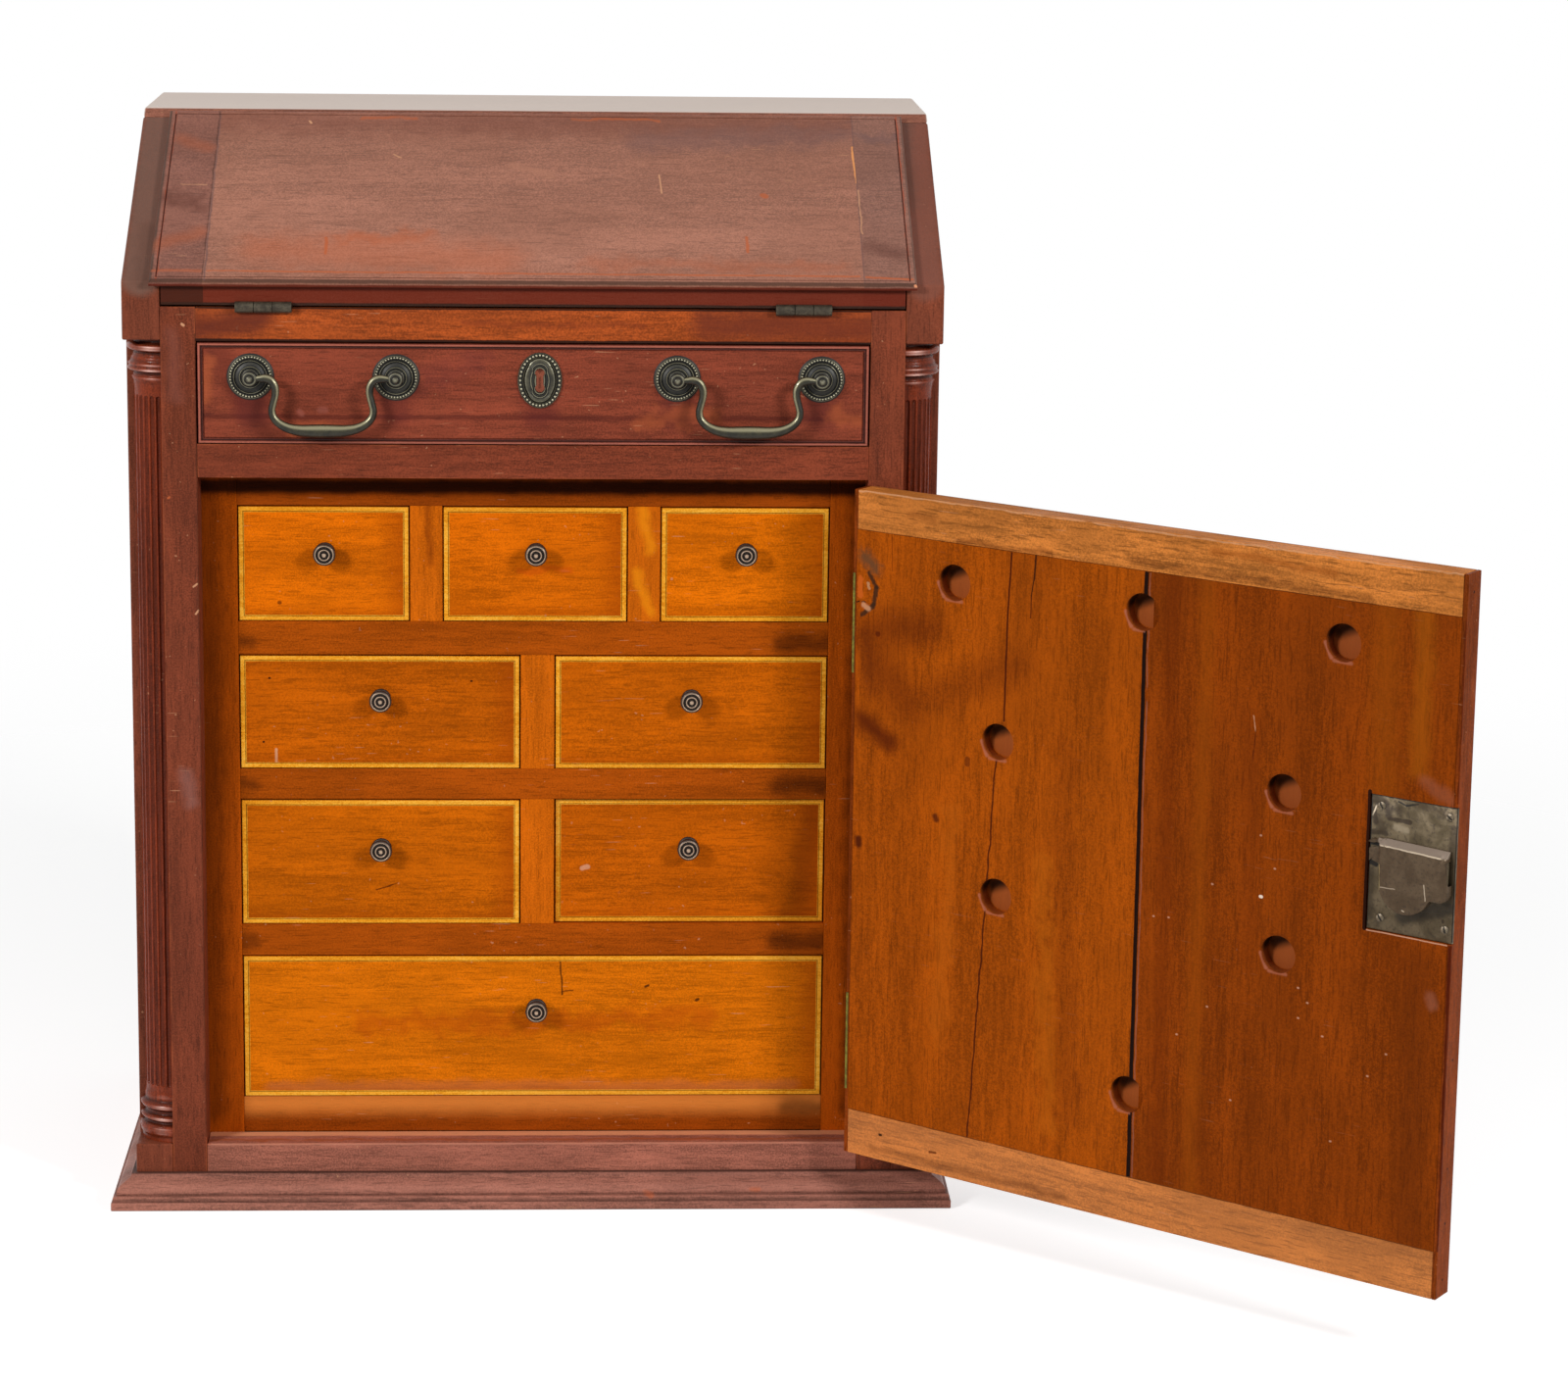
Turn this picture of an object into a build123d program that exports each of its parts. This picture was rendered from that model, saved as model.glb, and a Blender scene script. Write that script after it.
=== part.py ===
from build123d import *
import math
import os

os.makedirs("parts", exist_ok=True)

# Millimetres. X runs to the right, Y to the back and Z up.
# The origin is the centre of the case's underside.

# Driving sizes of the case
case_width = 455.0
case_depth = 240.0
case_height = 617.5
top_depth = 102.5
slope_drop = 83.0
side_thickness = 21.0
back_thickness = 10.0
bottom_thickness = 12.0
top_thickness = 16.0
top_lap_thickness = 5.0
base_height = 35.6
face_thickness = 21.0
stile_width = 19.5
drawer_rail_height = 19.2
drawer_opening_height = 57.6
hinge_rail_height = 19.0
floor_thickness = 12.0
dust_board_thickness = 12.0
guide_height = 19.4
guide_back_gap = 20.0
overrun = 30.0

# Base moulding
moulding_height = 19.0
moulding_projection = 13.5
moulding_fillet_share = 0.19
moulding_shoulder_share = 0.78
moulding_step_share = 0.93
moulding_band_height = 5.0
moulding_quirk_height = 8.2
moulding_top_fillet = 1.0

# Quarter columns in the front corners
column_notch = 21.0
column_shaft_radius = 17.0
column_ring_radius = 20.5
capital_height = 29.3
column_base_height = 29.4
flute_count = 7
flute_radius = 1.35
flute_axis_gap = 0.35
flute_end_gap = 3.0
column_top_lap = 0.3

# Each point is (share of the ring's growth, share of the capital's height from its top)
capital_outline_shares = [
    (0.05, 0.00), (0.00, 0.05), (0.15, 0.09), (0.75, 0.106), (1.00, 0.15), (1.00, 0.20),
    (0.75, 0.24), (0.15, 0.26), (0.15, 0.34), (0.35, 0.36), (0.50, 0.45), (0.70, 0.47),
    (0.90, 0.51), (0.70, 0.55), (0.95, 0.575), (1.00, 0.60), (0.75, 0.635), (0.12, 0.65),
    (0.12, 0.73), (0.40, 0.75), (0.15, 0.84), (0.04, 0.94), (0.00, 1.00),
]
# Each point is (share of the ring's growth, share of the base's height from its foot)
column_foot_outline_shares = [
    (0.60, 0.00), (0.60, 0.10), (0.85, 0.13), (1.00, 0.22), (0.85, 0.31), (0.20, 0.35),
    (0.20, 0.39), (0.70, 0.42), (0.85, 0.46), (0.60, 0.51), (0.15, 0.53), (0.15, 0.61),
    (0.65, 0.64), (0.88, 0.70), (0.65, 0.75), (0.15, 0.80), (0.20, 0.88), (0.00, 1.00),
]

# Fall front
slope_gap = 0.3
lid_lip_thickness = 3.5
lid_lip_foot_overlap = 4.8
lid_lip_head_margin = 7.1
lid_lip_side_overlap = 5.5
lid_lip_round = 1.8
lid_core_depth = 11.2
lid_side_gap = 0.6
lid_core_head_margin = 13.1
lid_head_gap = 0.5
lid_foot_gap = 1.2
lid_cleat_width = 24.0
lid_quirk = 0.8
lid_quirk_inset = 3.6

# Hinges of the fall front
lid_hinge_length = 31.0
lid_hinge_inset = 37.6
lid_hinge_axis_out = 1.6
lid_hinge_axis_rise = 0.3
hinge_knuckle_radius = 3.1
hinge_clearance = 0.3
hinge_leaf_thickness = 1.2
hinge_leaf_width = 17.0
hinge_pin_radius = 1.4
hinge_pin_play = 0.05
hinge_knuckle_gap = 0.2

# Top drawer
drawer_gap = 0.8
drawer_foot_gap = 0.4
drawer_front_thickness = 18.0
drawer_side_thickness = 8.0
drawer_bottom_thickness = 5.0
drawer_bottom_rise = 4.0
drawer_side_drop = 5.0
drawer_back_gap = 20.0
drawer_bead_width = 2.6
drawer_bead_round = 1.2
drawer_quirk = 0.8

# Brass of the top drawer
handle_rise = 9.3
handle_inset_left = 70.2
handle_inset_right = 67.4
bail_boring = 80.4
rosette_radius = 12.3
rosette_thickness = 1.2
rosette_ridge_rise = 1.3
rosette_dome_rise = 2.6
post_radius = 4.0
post_head_radius = 4.1
post_button_radius = 3.0
post_reach = 10.6
post_shank_radius = 2.4
post_shank_depth = 12.0
pivot_reach = 8.0
bail_pin_radius = 1.3
bail_pin_play = 0.05
bail_pin_depth = 2.4
bail_rod_radius = 1.7
bail_post_gap = 0.4
bail_shoulder = 17.5
bail_waist = 12.8
bail_elbow_drop = 29.5
bail_drop = 31.0
bail_shoulder_bend = 6.0
bail_elbow_bend = 11.0
grip_radius = 3.0
grip_length = 44.0
grip_taper_share = 0.64
grip_taper_radius = 2.6
escutcheon_x = 3.1
escutcheon_rise = 8.1
escutcheon_width = 24.9
escutcheon_height = 31.8
escutcheon_thickness = 1.2
escutcheon_rim_width = 2.2
escutcheon_rim_rise = 1.2
keyhole_rim_width = 1.5
keyhole_rim_rise = 1.0
keyhole_radius = 2.6
keyhole_spread = 7.4
keyhole_waist = 3.8

# Nest of small drawers behind the door
nest_stile_lap = 19.8
nest_stile_thickness = 16.0
nest_side_thickness = 12.0
nest_back_gap = 8.0
nest_top_rail_height = 19.4
nest_base_height = 21.2
nest_shelf_thicknesses = (19.4, 17.9, 18.7)
nest_divider_width = 18.3
nest_middle_divider_width = 19.2
nest_middle_offset = 1.9
spice_gap = 0.7
spice_foot_gap = 0.4
spice_front_thickness = 12.0
spice_wall = 6.0
spice_bottom = 4.0
spice_tray_drop = 6.0
spice_tray_inset = 1.5
spice_back_gap = 23.0
spice_deep_setback = 3.0
knob_radius = 6.3
knob_reach = 10.0
knob_head_thickness = 4.2
knob_neck_radius = 3.0
knob_flange_radius = 5.4
knob_flange_thickness = 1.2
knob_shank_radius = 1.8
knob_shank_depth = 8.0

# Shares of the nest's clear height at the shelf tops, and of its half width at the dividers
nest_shelf_top_shares = (0.8087, 0.5617, 0.2978)
nest_row_one_divider_shares = (-0.365, 0.371)
# Each knob is (share of its bay's width, share of its bay's height)
knob_place_shares = (
    (0.507, 0.598), (0.505, 0.599), (0.506, 0.602), (0.503, 0.617),
    (0.501, 0.617), (0.502, 0.611), (0.495, 0.612), (0.505, 0.624),
)

# Door, hung on the right and standing open
door_open_angle = 142.0
door_axis_side = 1.2
door_axis_out = 3.4
door_thickness = 15.0
door_hinge_gap = 0.3
door_free_gap = 0.6
door_end_gap = 1.3
door_cleat_height = 22.5
door_foot_cleat_height = 26.4
door_board_joint_share = 0.503
door_strip_thickness = 2.5
recess_radius = 10.25
recess_depth = 8.5
door_hinge_length = 57.0
door_hinge_top_inset = 47.5
door_hinge_foot_inset = 37.9
door_knuckle_radius = 2.6
door_leaf_thickness = 1.4
door_stile_leaf_width = 16.0
door_knuckle_share = 0.36

# Lock of the door
lock_width = 49.3
lock_height = 72.3
lock_rise = 35.5
lock_plate_thickness = 2.0
lock_cap_rise = 4.5
lock_cap_left_inset = 6.6
lock_cap_right_inset = 2.1
lock_cap_foot_inset = 20.1
lock_cap_head_inset = 26.7
lock_cap_round = 16.0
lock_cap_centre_inset = 22.2
lock_cap_centre_rise = 27.9
lock_cap_bevel = 3.0
lock_bolt_inset = 31.6
lock_bolt_height = 11.5
lock_bolt_tail_inset = 15.7
lock_bolt_end_inset = 3.2
lock_bolt_thickness = 2.4
lock_bolt_lift = 0.6
lock_bolt_play = 0.3
lock_bolt_throw = 8.0
lock_screw_radius = 2.3
lock_screw_rise = 0.5
lock_screw_shank_radius = 1.2
lock_screw_length = 9.0
# Each screw is (share of the lock's width, share of its height)
lock_screw_place_shares = ((0.13, 0.921), (0.911, 0.921), (0.162, 0.097), (0.907, 0.098))
key_bore_radius = 3.0
key_slot_width = 2.6
key_slot_length = 7.0
door_escutcheon_width = 15.0
door_escutcheon_height = 24.0
door_escutcheon_thickness = 1.2

# Planes and edges that follow from these sizes
front_y = -case_depth / 2
back_y = case_depth / 2
half_width = case_width / 2
side_inner = half_width - side_thickness
stile_inner = side_inner - stile_width
face_back_y = front_y + face_thickness
back_board_y = back_y - back_thickness
slope_foot_height = case_height - slope_drop
slope_run = case_depth - top_depth
slope_length = math.hypot(slope_run, slope_drop)
slope_sin = slope_drop / slope_length
slope_cos = slope_run / slope_length
desk_floor_height = slope_foot_height - lid_core_depth / slope_cos - lid_foot_gap
hinge_rail_low = desk_floor_height - hinge_rail_height
drawer_opening_low = hinge_rail_low - drawer_opening_height
drawer_rail_low = drawer_opening_low - drawer_rail_height
column_low = base_height
column_high = hinge_rail_low + column_top_lap
door_axis_x = stile_inner + door_axis_side
door_hinge_edge = door_axis_side + door_hinge_gap
door_free_edge = door_axis_x + stile_inner - door_free_gap
door_low = base_height + door_end_gap
door_high = drawer_rail_low - door_end_gap
door_sin = math.sin(math.radians(door_open_angle))
door_cos = math.cos(math.radians(door_open_angle))
door_axis_y = front_y - door_axis_out
door_plane = Plane(
    origin=(door_axis_x, door_axis_y, 0), x_dir=(-door_cos, -door_sin, 0), z_dir=(-door_sin, door_cos, 0)
)
door_outer = door_axis_out
door_inner = door_axis_out + door_thickness


def slope_section(x):
    """The plane across the slope at x: its own X runs up the slope and its Y out of it."""
    return Plane(origin=(x, front_y, slope_foot_height), x_dir=(0, slope_cos, slope_sin), z_dir=(1, 0, 0))


def front_plane(x, y, z):
    """A plane that faces the front at y, seen with X to the right and Z up."""
    return Plane(origin=(x, y, z), x_dir=(1, 0, 0), z_dir=(0, -1, 0))


def block(xs, ys, zs, mode=Mode.ADD):
    """A block between three pairs of planes, in the part that is being made."""
    with Locations(((xs[0] + xs[1]) / 2, (ys[0] + ys[1]) / 2, (zs[0] + zs[1]) / 2)):
        Box(xs[1] - xs[0], ys[1] - ys[0], zs[1] - zs[0], mode=mode)


def rod_along_x(xs, y, z, radius, mode=Mode.ADD):
    """A round bar along X between two planes."""
    with Locations(((xs[0] + xs[1]) / 2, y, z)):
        Cylinder(radius, xs[1] - xs[0], rotation=(0, 90, 0), mode=mode)


def keep(piece, name):
    """Labels a finished piece and writes it to its own file."""
    piece.part.label = name
    export_step(piece.part, f"parts/{name}.step")


def keep_group(pieces, name):
    """Writes pieces that touch as separate solids of one file."""
    group = Compound(label=name, children=[solid for piece in pieces for solid in piece.part.solids()])
    export_step(group, f"parts/{name}.step")


def plain_board(name, xs, ys, zs):
    """A straight board with square edges."""
    with BuildPart() as board:
        block(xs, ys, zs)
    keep(board, name)


def plain_boards(name, spans):
    """Several straight boards of one kind, each a solid of its own."""
    with BuildPart() as boards:
        for xs, ys, zs in spans:
            block(xs, ys, zs)
    keep(boards, name)


# Case sides, with the slope above and the notch of the quarter column in front
side_top = case_height - top_lap_thickness
slope_top_y = front_y + (side_top - slope_foot_height) / slope_drop * slope_run
notch_y = front_y + column_notch
for name, inner_x in (("case_side_left", -half_width), ("case_side_right", side_inner)):
    with BuildPart() as case_side:
        with BuildSketch(Plane.YZ.offset(inner_x)):
            with BuildLine():
                Polyline(
                    (front_y, 0), (back_y, 0), (back_y, side_top), (slope_top_y, side_top),
                    (front_y, slope_foot_height), (front_y, column_high), (notch_y, column_high),
                    (notch_y, column_low), (front_y, column_low), close=True,
                )
            make_face()
        extrude(amount=side_thickness)
    keep(case_side, name)

# Top board between the sides, with laps over them and its front bevelled to the slope
top_underside = case_height - top_thickness
lid_core_head = slope_length - lid_core_head_margin
lid_lip_head = slope_length - lid_lip_head_margin
head_shoulder = lid_core_head + lid_head_gap
top_arris_y = front_y + slope_run
shoulder_y = front_y + head_shoulder * slope_cos
shoulder_z = slope_foot_height + head_shoulder * slope_sin
bevel_foot_y = shoulder_y + (shoulder_z - top_underside) * slope_sin / slope_cos
with BuildPart() as top_board:
    with BuildSketch(Plane.YZ.offset(-side_inner)):
        with BuildLine():
            Polyline(
                (bevel_foot_y, top_underside), (back_board_y, top_underside), (back_board_y, side_top),
                (back_y, side_top), (back_y, case_height), (top_arris_y, case_height),
                (shoulder_y, shoulder_z), close=True,
            )
        make_face()
    extrude(amount=2 * side_inner)
    for lap_x in (-half_width, side_inner):
        with BuildSketch(Plane.YZ.offset(lap_x)):
            with BuildLine():
                Polyline(
                    (slope_top_y, side_top), (back_y, side_top), (back_y, case_height),
                    (top_arris_y, case_height), close=True,
                )
            make_face()
        extrude(amount=side_thickness)
keep(top_board, "top_board")

plain_board("back_board", (-side_inner, side_inner), (back_board_y, back_y), (0, side_top))
plain_board("bottom_board", (-side_inner, side_inner), (face_back_y, back_board_y), (0, bottom_thickness))
plain_board("bottom_rail", (-stile_inner, stile_inner), (front_y, face_back_y), (0, base_height))
plain_board(
    "drawer_rail", (-stile_inner, stile_inner), (front_y, face_back_y), (drawer_rail_low, drawer_opening_low)
)
plain_board(
    "desk_floor", (-side_inner, side_inner), (face_back_y, back_board_y),
    (desk_floor_height - floor_thickness, desk_floor_height),
)
dust_board_low = drawer_opening_low - dust_board_thickness
plain_board(
    "dust_board", (-side_inner, side_inner), (face_back_y, back_board_y), (dust_board_low, drawer_opening_low)
)
guide_span = ((face_back_y, back_board_y - guide_back_gap), (drawer_opening_low, drawer_opening_low + guide_height))
plain_boards(
    "drawer_guides",
    [((-side_inner, -stile_inner), *guide_span), ((stile_inner, side_inner), *guide_span)],
)

# Stiles beside the door, with the beds of the hinge leaves and the lock's keep
lock_left = door_free_edge - lock_width
lock_low = (door_low + door_high) / 2 + lock_rise - lock_height / 2
lock_high = lock_low + lock_height
lock_bolt_low = lock_low + lock_bolt_inset
lock_bolt_high = lock_bolt_low + lock_bolt_height
lock_bolt_start = lock_left + lock_bolt_tail_inset
lock_bolt_end = door_free_edge - lock_bolt_end_inset
bolt_tip_x = door_axis_x - lock_bolt_end - lock_bolt_throw
bolt_low_n = door_inner + lock_bolt_lift
bolt_high_n = bolt_low_n + lock_bolt_thickness
with BuildPart() as stile_left:
    block((-side_inner, -stile_inner), (front_y, face_back_y), (0, desk_floor_height))
    block(
        (bolt_tip_x - hinge_clearance, -stile_inner + overrun),
        (door_axis_y + bolt_low_n - lock_bolt_play, door_axis_y + bolt_high_n + lock_bolt_play),
        (lock_bolt_low - lock_bolt_play, lock_bolt_high + lock_bolt_play), mode=Mode.SUBTRACT,
    )
keep(stile_left, "stile_left")
door_hinge_spans = (
    (door_high - door_hinge_top_inset - door_hinge_length, door_high - door_hinge_top_inset),
    (door_low + door_hinge_foot_inset, door_low + door_hinge_foot_inset + door_hinge_length),
)
stile_leaf_x = (stile_inner, stile_inner + door_leaf_thickness)
stile_leaf_back_y = door_axis_y + door_stile_leaf_width
with BuildPart() as stile_right:
    block((stile_inner, side_inner), (front_y, face_back_y), (0, desk_floor_height))
    for span in door_hinge_spans:
        block(stile_leaf_x, (front_y - overrun, stile_leaf_back_y), span, mode=Mode.SUBTRACT)
keep(stile_right, "stile_right")

# Hinge rail under the fall front, cut for the knuckles and the fixed leaves
lid_axis_y = front_y - lid_hinge_axis_out
lid_axis_z = desk_floor_height + lid_hinge_axis_rise
leaf_bed_y = front_y + hinge_leaf_width
lid_hinge_centre = stile_inner - lid_hinge_inset
lid_hinge_spans = [
    (centre - lid_hinge_length / 2, centre + lid_hinge_length / 2)
    for centre in (-lid_hinge_centre, lid_hinge_centre)
]
with BuildPart() as hinge_rail:
    block((-stile_inner, stile_inner), (front_y, face_back_y), (hinge_rail_low, desk_floor_height))
    for span in lid_hinge_spans:
        rod_along_x(span, lid_axis_y, lid_axis_z, hinge_knuckle_radius + hinge_clearance, Mode.SUBTRACT)
        block(
            span, (front_y - overrun, leaf_bed_y),
            (desk_floor_height - hinge_leaf_thickness, desk_floor_height + overrun), Mode.SUBTRACT,
        )
keep(hinge_rail, "hinge_rail")

# Base moulding round the front and the two sides, mitred at the corners
fillet_out = moulding_projection * moulding_fillet_share
shoulder_out = moulding_projection * moulding_shoulder_share
step_out = moulding_projection * moulding_step_share
fillet_low = moulding_height - moulding_top_fillet


def moulding_length(plane, run):
    """One length of the moulding, drawn on the plane as (outward, up) and run along its normal."""
    with BuildPart() as length:
        with BuildSketch(plane) as section:
            with BuildLine():
                Polyline((fillet_out, fillet_low), (fillet_out, moulding_height), (0, moulding_height), (0, 0))
                Polyline(
                    (0, 0), (moulding_projection, 0), (moulding_projection, moulding_band_height),
                    (step_out, moulding_band_height), (step_out, moulding_quirk_height),
                    (shoulder_out, moulding_quirk_height),
                )
                Bezier(
                    (shoulder_out, moulding_quirk_height), (shoulder_out, fillet_low - moulding_top_fillet),
                    (fillet_out, moulding_quirk_height + moulding_top_fillet), (fillet_out, fillet_low),
                )
            make_face()
        extrude(section.sketch, amount=run)
    return length


reach = moulding_projection + moulding_top_fillet
front_length = moulding_length(
    Plane(origin=(half_width + reach, front_y, 0), x_dir=(0, -1, 0), z_dir=(-1, 0, 0)), case_width + 2 * reach
)
left_length = moulding_length(
    Plane(origin=(-half_width, front_y - reach, 0), x_dir=(-1, 0, 0), z_dir=(0, 1, 0)), case_depth + reach
)
left_mitre = Plane(origin=(-half_width, front_y, 0), x_dir=(0, 0, 1), z_dir=(1, -1, 0))
right_mitre = Plane(origin=(half_width, front_y, 0), x_dir=(0, 0, 1), z_dir=(-1, -1, 0))
with BuildPart() as moulding_front:
    add(front_length.part)
    split(bisect_by=left_mitre, keep=Keep.TOP)
    split(bisect_by=right_mitre, keep=Keep.TOP)
with BuildPart() as moulding_left:
    add(left_length.part)
    split(bisect_by=left_mitre, keep=Keep.BOTTOM)
with BuildPart() as moulding_right:
    add(left_length.part.mirror(Plane.YZ))
    split(bisect_by=right_mitre, keep=Keep.BOTTOM)
keep_group((moulding_front, moulding_left, moulding_right), "base_moulding")

# Quarter columns: a turned quarter round with rings, its shaft fluted
ring_growth = column_ring_radius - column_shaft_radius
shaft_low = column_low + column_base_height
shaft_high = column_high - capital_height
flute_place = column_shaft_radius + flute_axis_gap
column_outline = [
    (column_shaft_radius + out * ring_growth, column_low + up * column_base_height)
    for out, up in column_foot_outline_shares
]
column_outline += [
    (column_shaft_radius + out * ring_growth, column_high - down * capital_height)
    for out, down in reversed(capital_outline_shares)
]
for name, hand in (("quarter_column_left", -1), ("quarter_column_right", 1)):
    column_axis = Axis((hand * side_inner, notch_y, 0), (0, 0, 1))
    column_plane = Plane(origin=(hand * side_inner, notch_y, 0), x_dir=(hand, 0, 0), z_dir=(0, -hand, 0))
    with BuildPart() as quarter_column:
        with BuildSketch(column_plane):
            with BuildLine():
                Polyline((0, column_low), *column_outline, (0, column_high), close=True)
            make_face()
        revolve(axis=column_axis, revolution_arc=-90 * hand)
        flute_floor = Plane(origin=(hand * side_inner, notch_y, shaft_low + flute_end_gap), x_dir=(hand, 0, 0))
        with BuildSketch(flute_floor) as flutes:
            for step in range(flute_count):
                turn = math.radians(-90 * hand * (step + 1 / 2) / flute_count)
                with Locations((flute_place * math.cos(turn), flute_place * math.sin(turn))):
                    Circle(flute_radius)
        extrude(flutes.sketch, amount=shaft_high - shaft_low - 2 * flute_end_gap, mode=Mode.SUBTRACT)
    keep(quarter_column, name)

# Frame of the nest of small drawers
nest_back_y = back_board_y - nest_back_gap
nest_stile_inner = stile_inner - nest_stile_lap
nest_base_top = base_height + nest_base_height
nest_top_rail_low = drawer_rail_low - nest_top_rail_height
nest_clear_height = nest_top_rail_low - nest_base_top
nest_shelf_tops = [nest_base_top + share * nest_clear_height for share in nest_shelf_top_shares]
nest_shelf_undersides = [
    top - thickness for top, thickness in zip(nest_shelf_tops, nest_shelf_thicknesses)
]
nest_dividers_row_one = [
    (share * nest_stile_inner - nest_divider_width / 2, share * nest_stile_inner + nest_divider_width / 2)
    for share in nest_row_one_divider_shares
]
nest_divider_middle = (
    nest_middle_offset - nest_middle_divider_width / 2, nest_middle_offset + nest_middle_divider_width / 2
)
nest_face_back_y = face_back_y + nest_stile_thickness
nest_side_x = (nest_stile_inner, nest_stile_inner + nest_side_thickness)
stile_spans = [
    ((low, high), (face_back_y, nest_face_back_y), (bottom_thickness, dust_board_low))
    for low, high in ((-side_inner, -nest_stile_inner), (nest_stile_inner, side_inner))
]
plain_boards("nest_stiles", stile_spans)
side_spans = [
    ((low, high), (nest_face_back_y, nest_back_y), (bottom_thickness, dust_board_low))
    for low, high in ((-nest_side_x[1], -nest_side_x[0]), nest_side_x)
]
plain_boards("nest_sides", side_spans)
nest_x = (-nest_stile_inner, nest_stile_inner)
nest_y = (face_back_y, nest_back_y)
plain_boards(
    "nest_rails",
    [(nest_x, nest_y, (nest_top_rail_low, dust_board_low)), (nest_x, nest_y, (base_height, nest_base_top))],
)
shelf_spans = [(nest_x, nest_y, span) for span in zip(nest_shelf_undersides, nest_shelf_tops)]
plain_boards("nest_shelves", shelf_spans)
row_one_z = (nest_shelf_tops[0], nest_top_rail_low)
row_two_z = (nest_shelf_tops[1], nest_shelf_undersides[0])
row_three_z = (nest_shelf_tops[2], nest_shelf_undersides[1])
row_four_z = (nest_base_top, nest_shelf_undersides[2])
divider_spans = [(xs, nest_y, row_one_z) for xs in nest_dividers_row_one]
divider_spans += [(nest_divider_middle, nest_y, row_z) for row_z in (row_two_z, row_three_z)]
plain_boards("nest_dividers", divider_spans)

# Small drawers, each a front and a tray behind it
spice_bays = [
    ((-nest_stile_inner, nest_dividers_row_one[0][0]), row_one_z, 0),
    ((nest_dividers_row_one[0][1], nest_dividers_row_one[1][0]), row_one_z, 0),
    ((nest_dividers_row_one[1][1], nest_stile_inner), row_one_z, 0),
    ((-nest_stile_inner, nest_divider_middle[0]), row_two_z, 0),
    ((nest_divider_middle[1], nest_stile_inner), row_two_z, 0),
    ((-nest_stile_inner, nest_divider_middle[0]), row_three_z, 0),
    ((nest_divider_middle[1], nest_stile_inner), row_three_z, spice_deep_setback),
    (nest_x, row_four_z, 0),
]
knob_places = [
    (bay_x[0] + share_x * (bay_x[1] - bay_x[0]), bay_z[0] + share_z * (bay_z[1] - bay_z[0]))
    for (bay_x, bay_z, setback), (share_x, share_z) in zip(spice_bays, knob_place_shares)
]
for number, (bay_x, bay_z, setback) in enumerate(spice_bays, start=1):
    knob_x, knob_z = knob_places[number - 1]
    drawer_x = (bay_x[0] + spice_gap, bay_x[1] - spice_gap)
    drawer_z = (bay_z[0] + spice_foot_gap, bay_z[1] - spice_gap)
    drawer_y = face_back_y + setback
    tray_y = drawer_y + spice_front_thickness
    tray_back_y = nest_back_y - spice_back_gap
    tray_x = (drawer_x[0] + spice_tray_inset, drawer_x[1] - spice_tray_inset)
    tray_top = drawer_z[1] - spice_tray_drop
    with BuildPart() as spice_front:
        block(drawer_x, (drawer_y, tray_y), drawer_z)
        with Locations(front_plane(knob_x, drawer_y, knob_z)):
            Cylinder(
                knob_shank_radius, knob_shank_depth, align=(Align.CENTER, Align.CENTER, Align.MAX),
                mode=Mode.SUBTRACT,
            )
    with BuildPart() as spice_tray:
        block(tray_x, (tray_y, tray_back_y), (drawer_z[0], tray_top))
        block(
            (tray_x[0] + spice_wall, tray_x[1] - spice_wall), (tray_y + spice_wall, tray_back_y - spice_wall),
            (drawer_z[0] + spice_bottom, tray_top + overrun), mode=Mode.SUBTRACT,
        )
    keep_group((spice_front, spice_tray), f"spice_drawer_{number}")

    with BuildPart() as spice_knob:
        with BuildSketch(Plane(origin=(knob_x, drawer_y, knob_z), x_dir=(1, 0, 0), z_dir=(0, 0, 1))):
            with BuildLine():
                Polyline(
                    (0, knob_shank_depth), (knob_shank_radius, knob_shank_depth), (knob_shank_radius, 0),
                    (knob_flange_radius, 0), (knob_flange_radius, -knob_flange_thickness),
                    (knob_neck_radius, -knob_flange_thickness * 2),
                    (knob_neck_radius, -knob_reach + knob_head_thickness),
                    (knob_radius, -knob_reach + knob_head_thickness / 2),
                    (knob_radius - knob_flange_thickness, -knob_reach), (0, -knob_reach), close=True,
                )
            make_face()
        revolve(axis=Axis((knob_x, drawer_y, knob_z), (0, 1, 0)))
    keep(spice_knob, f"spice_knob_{number}")

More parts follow.
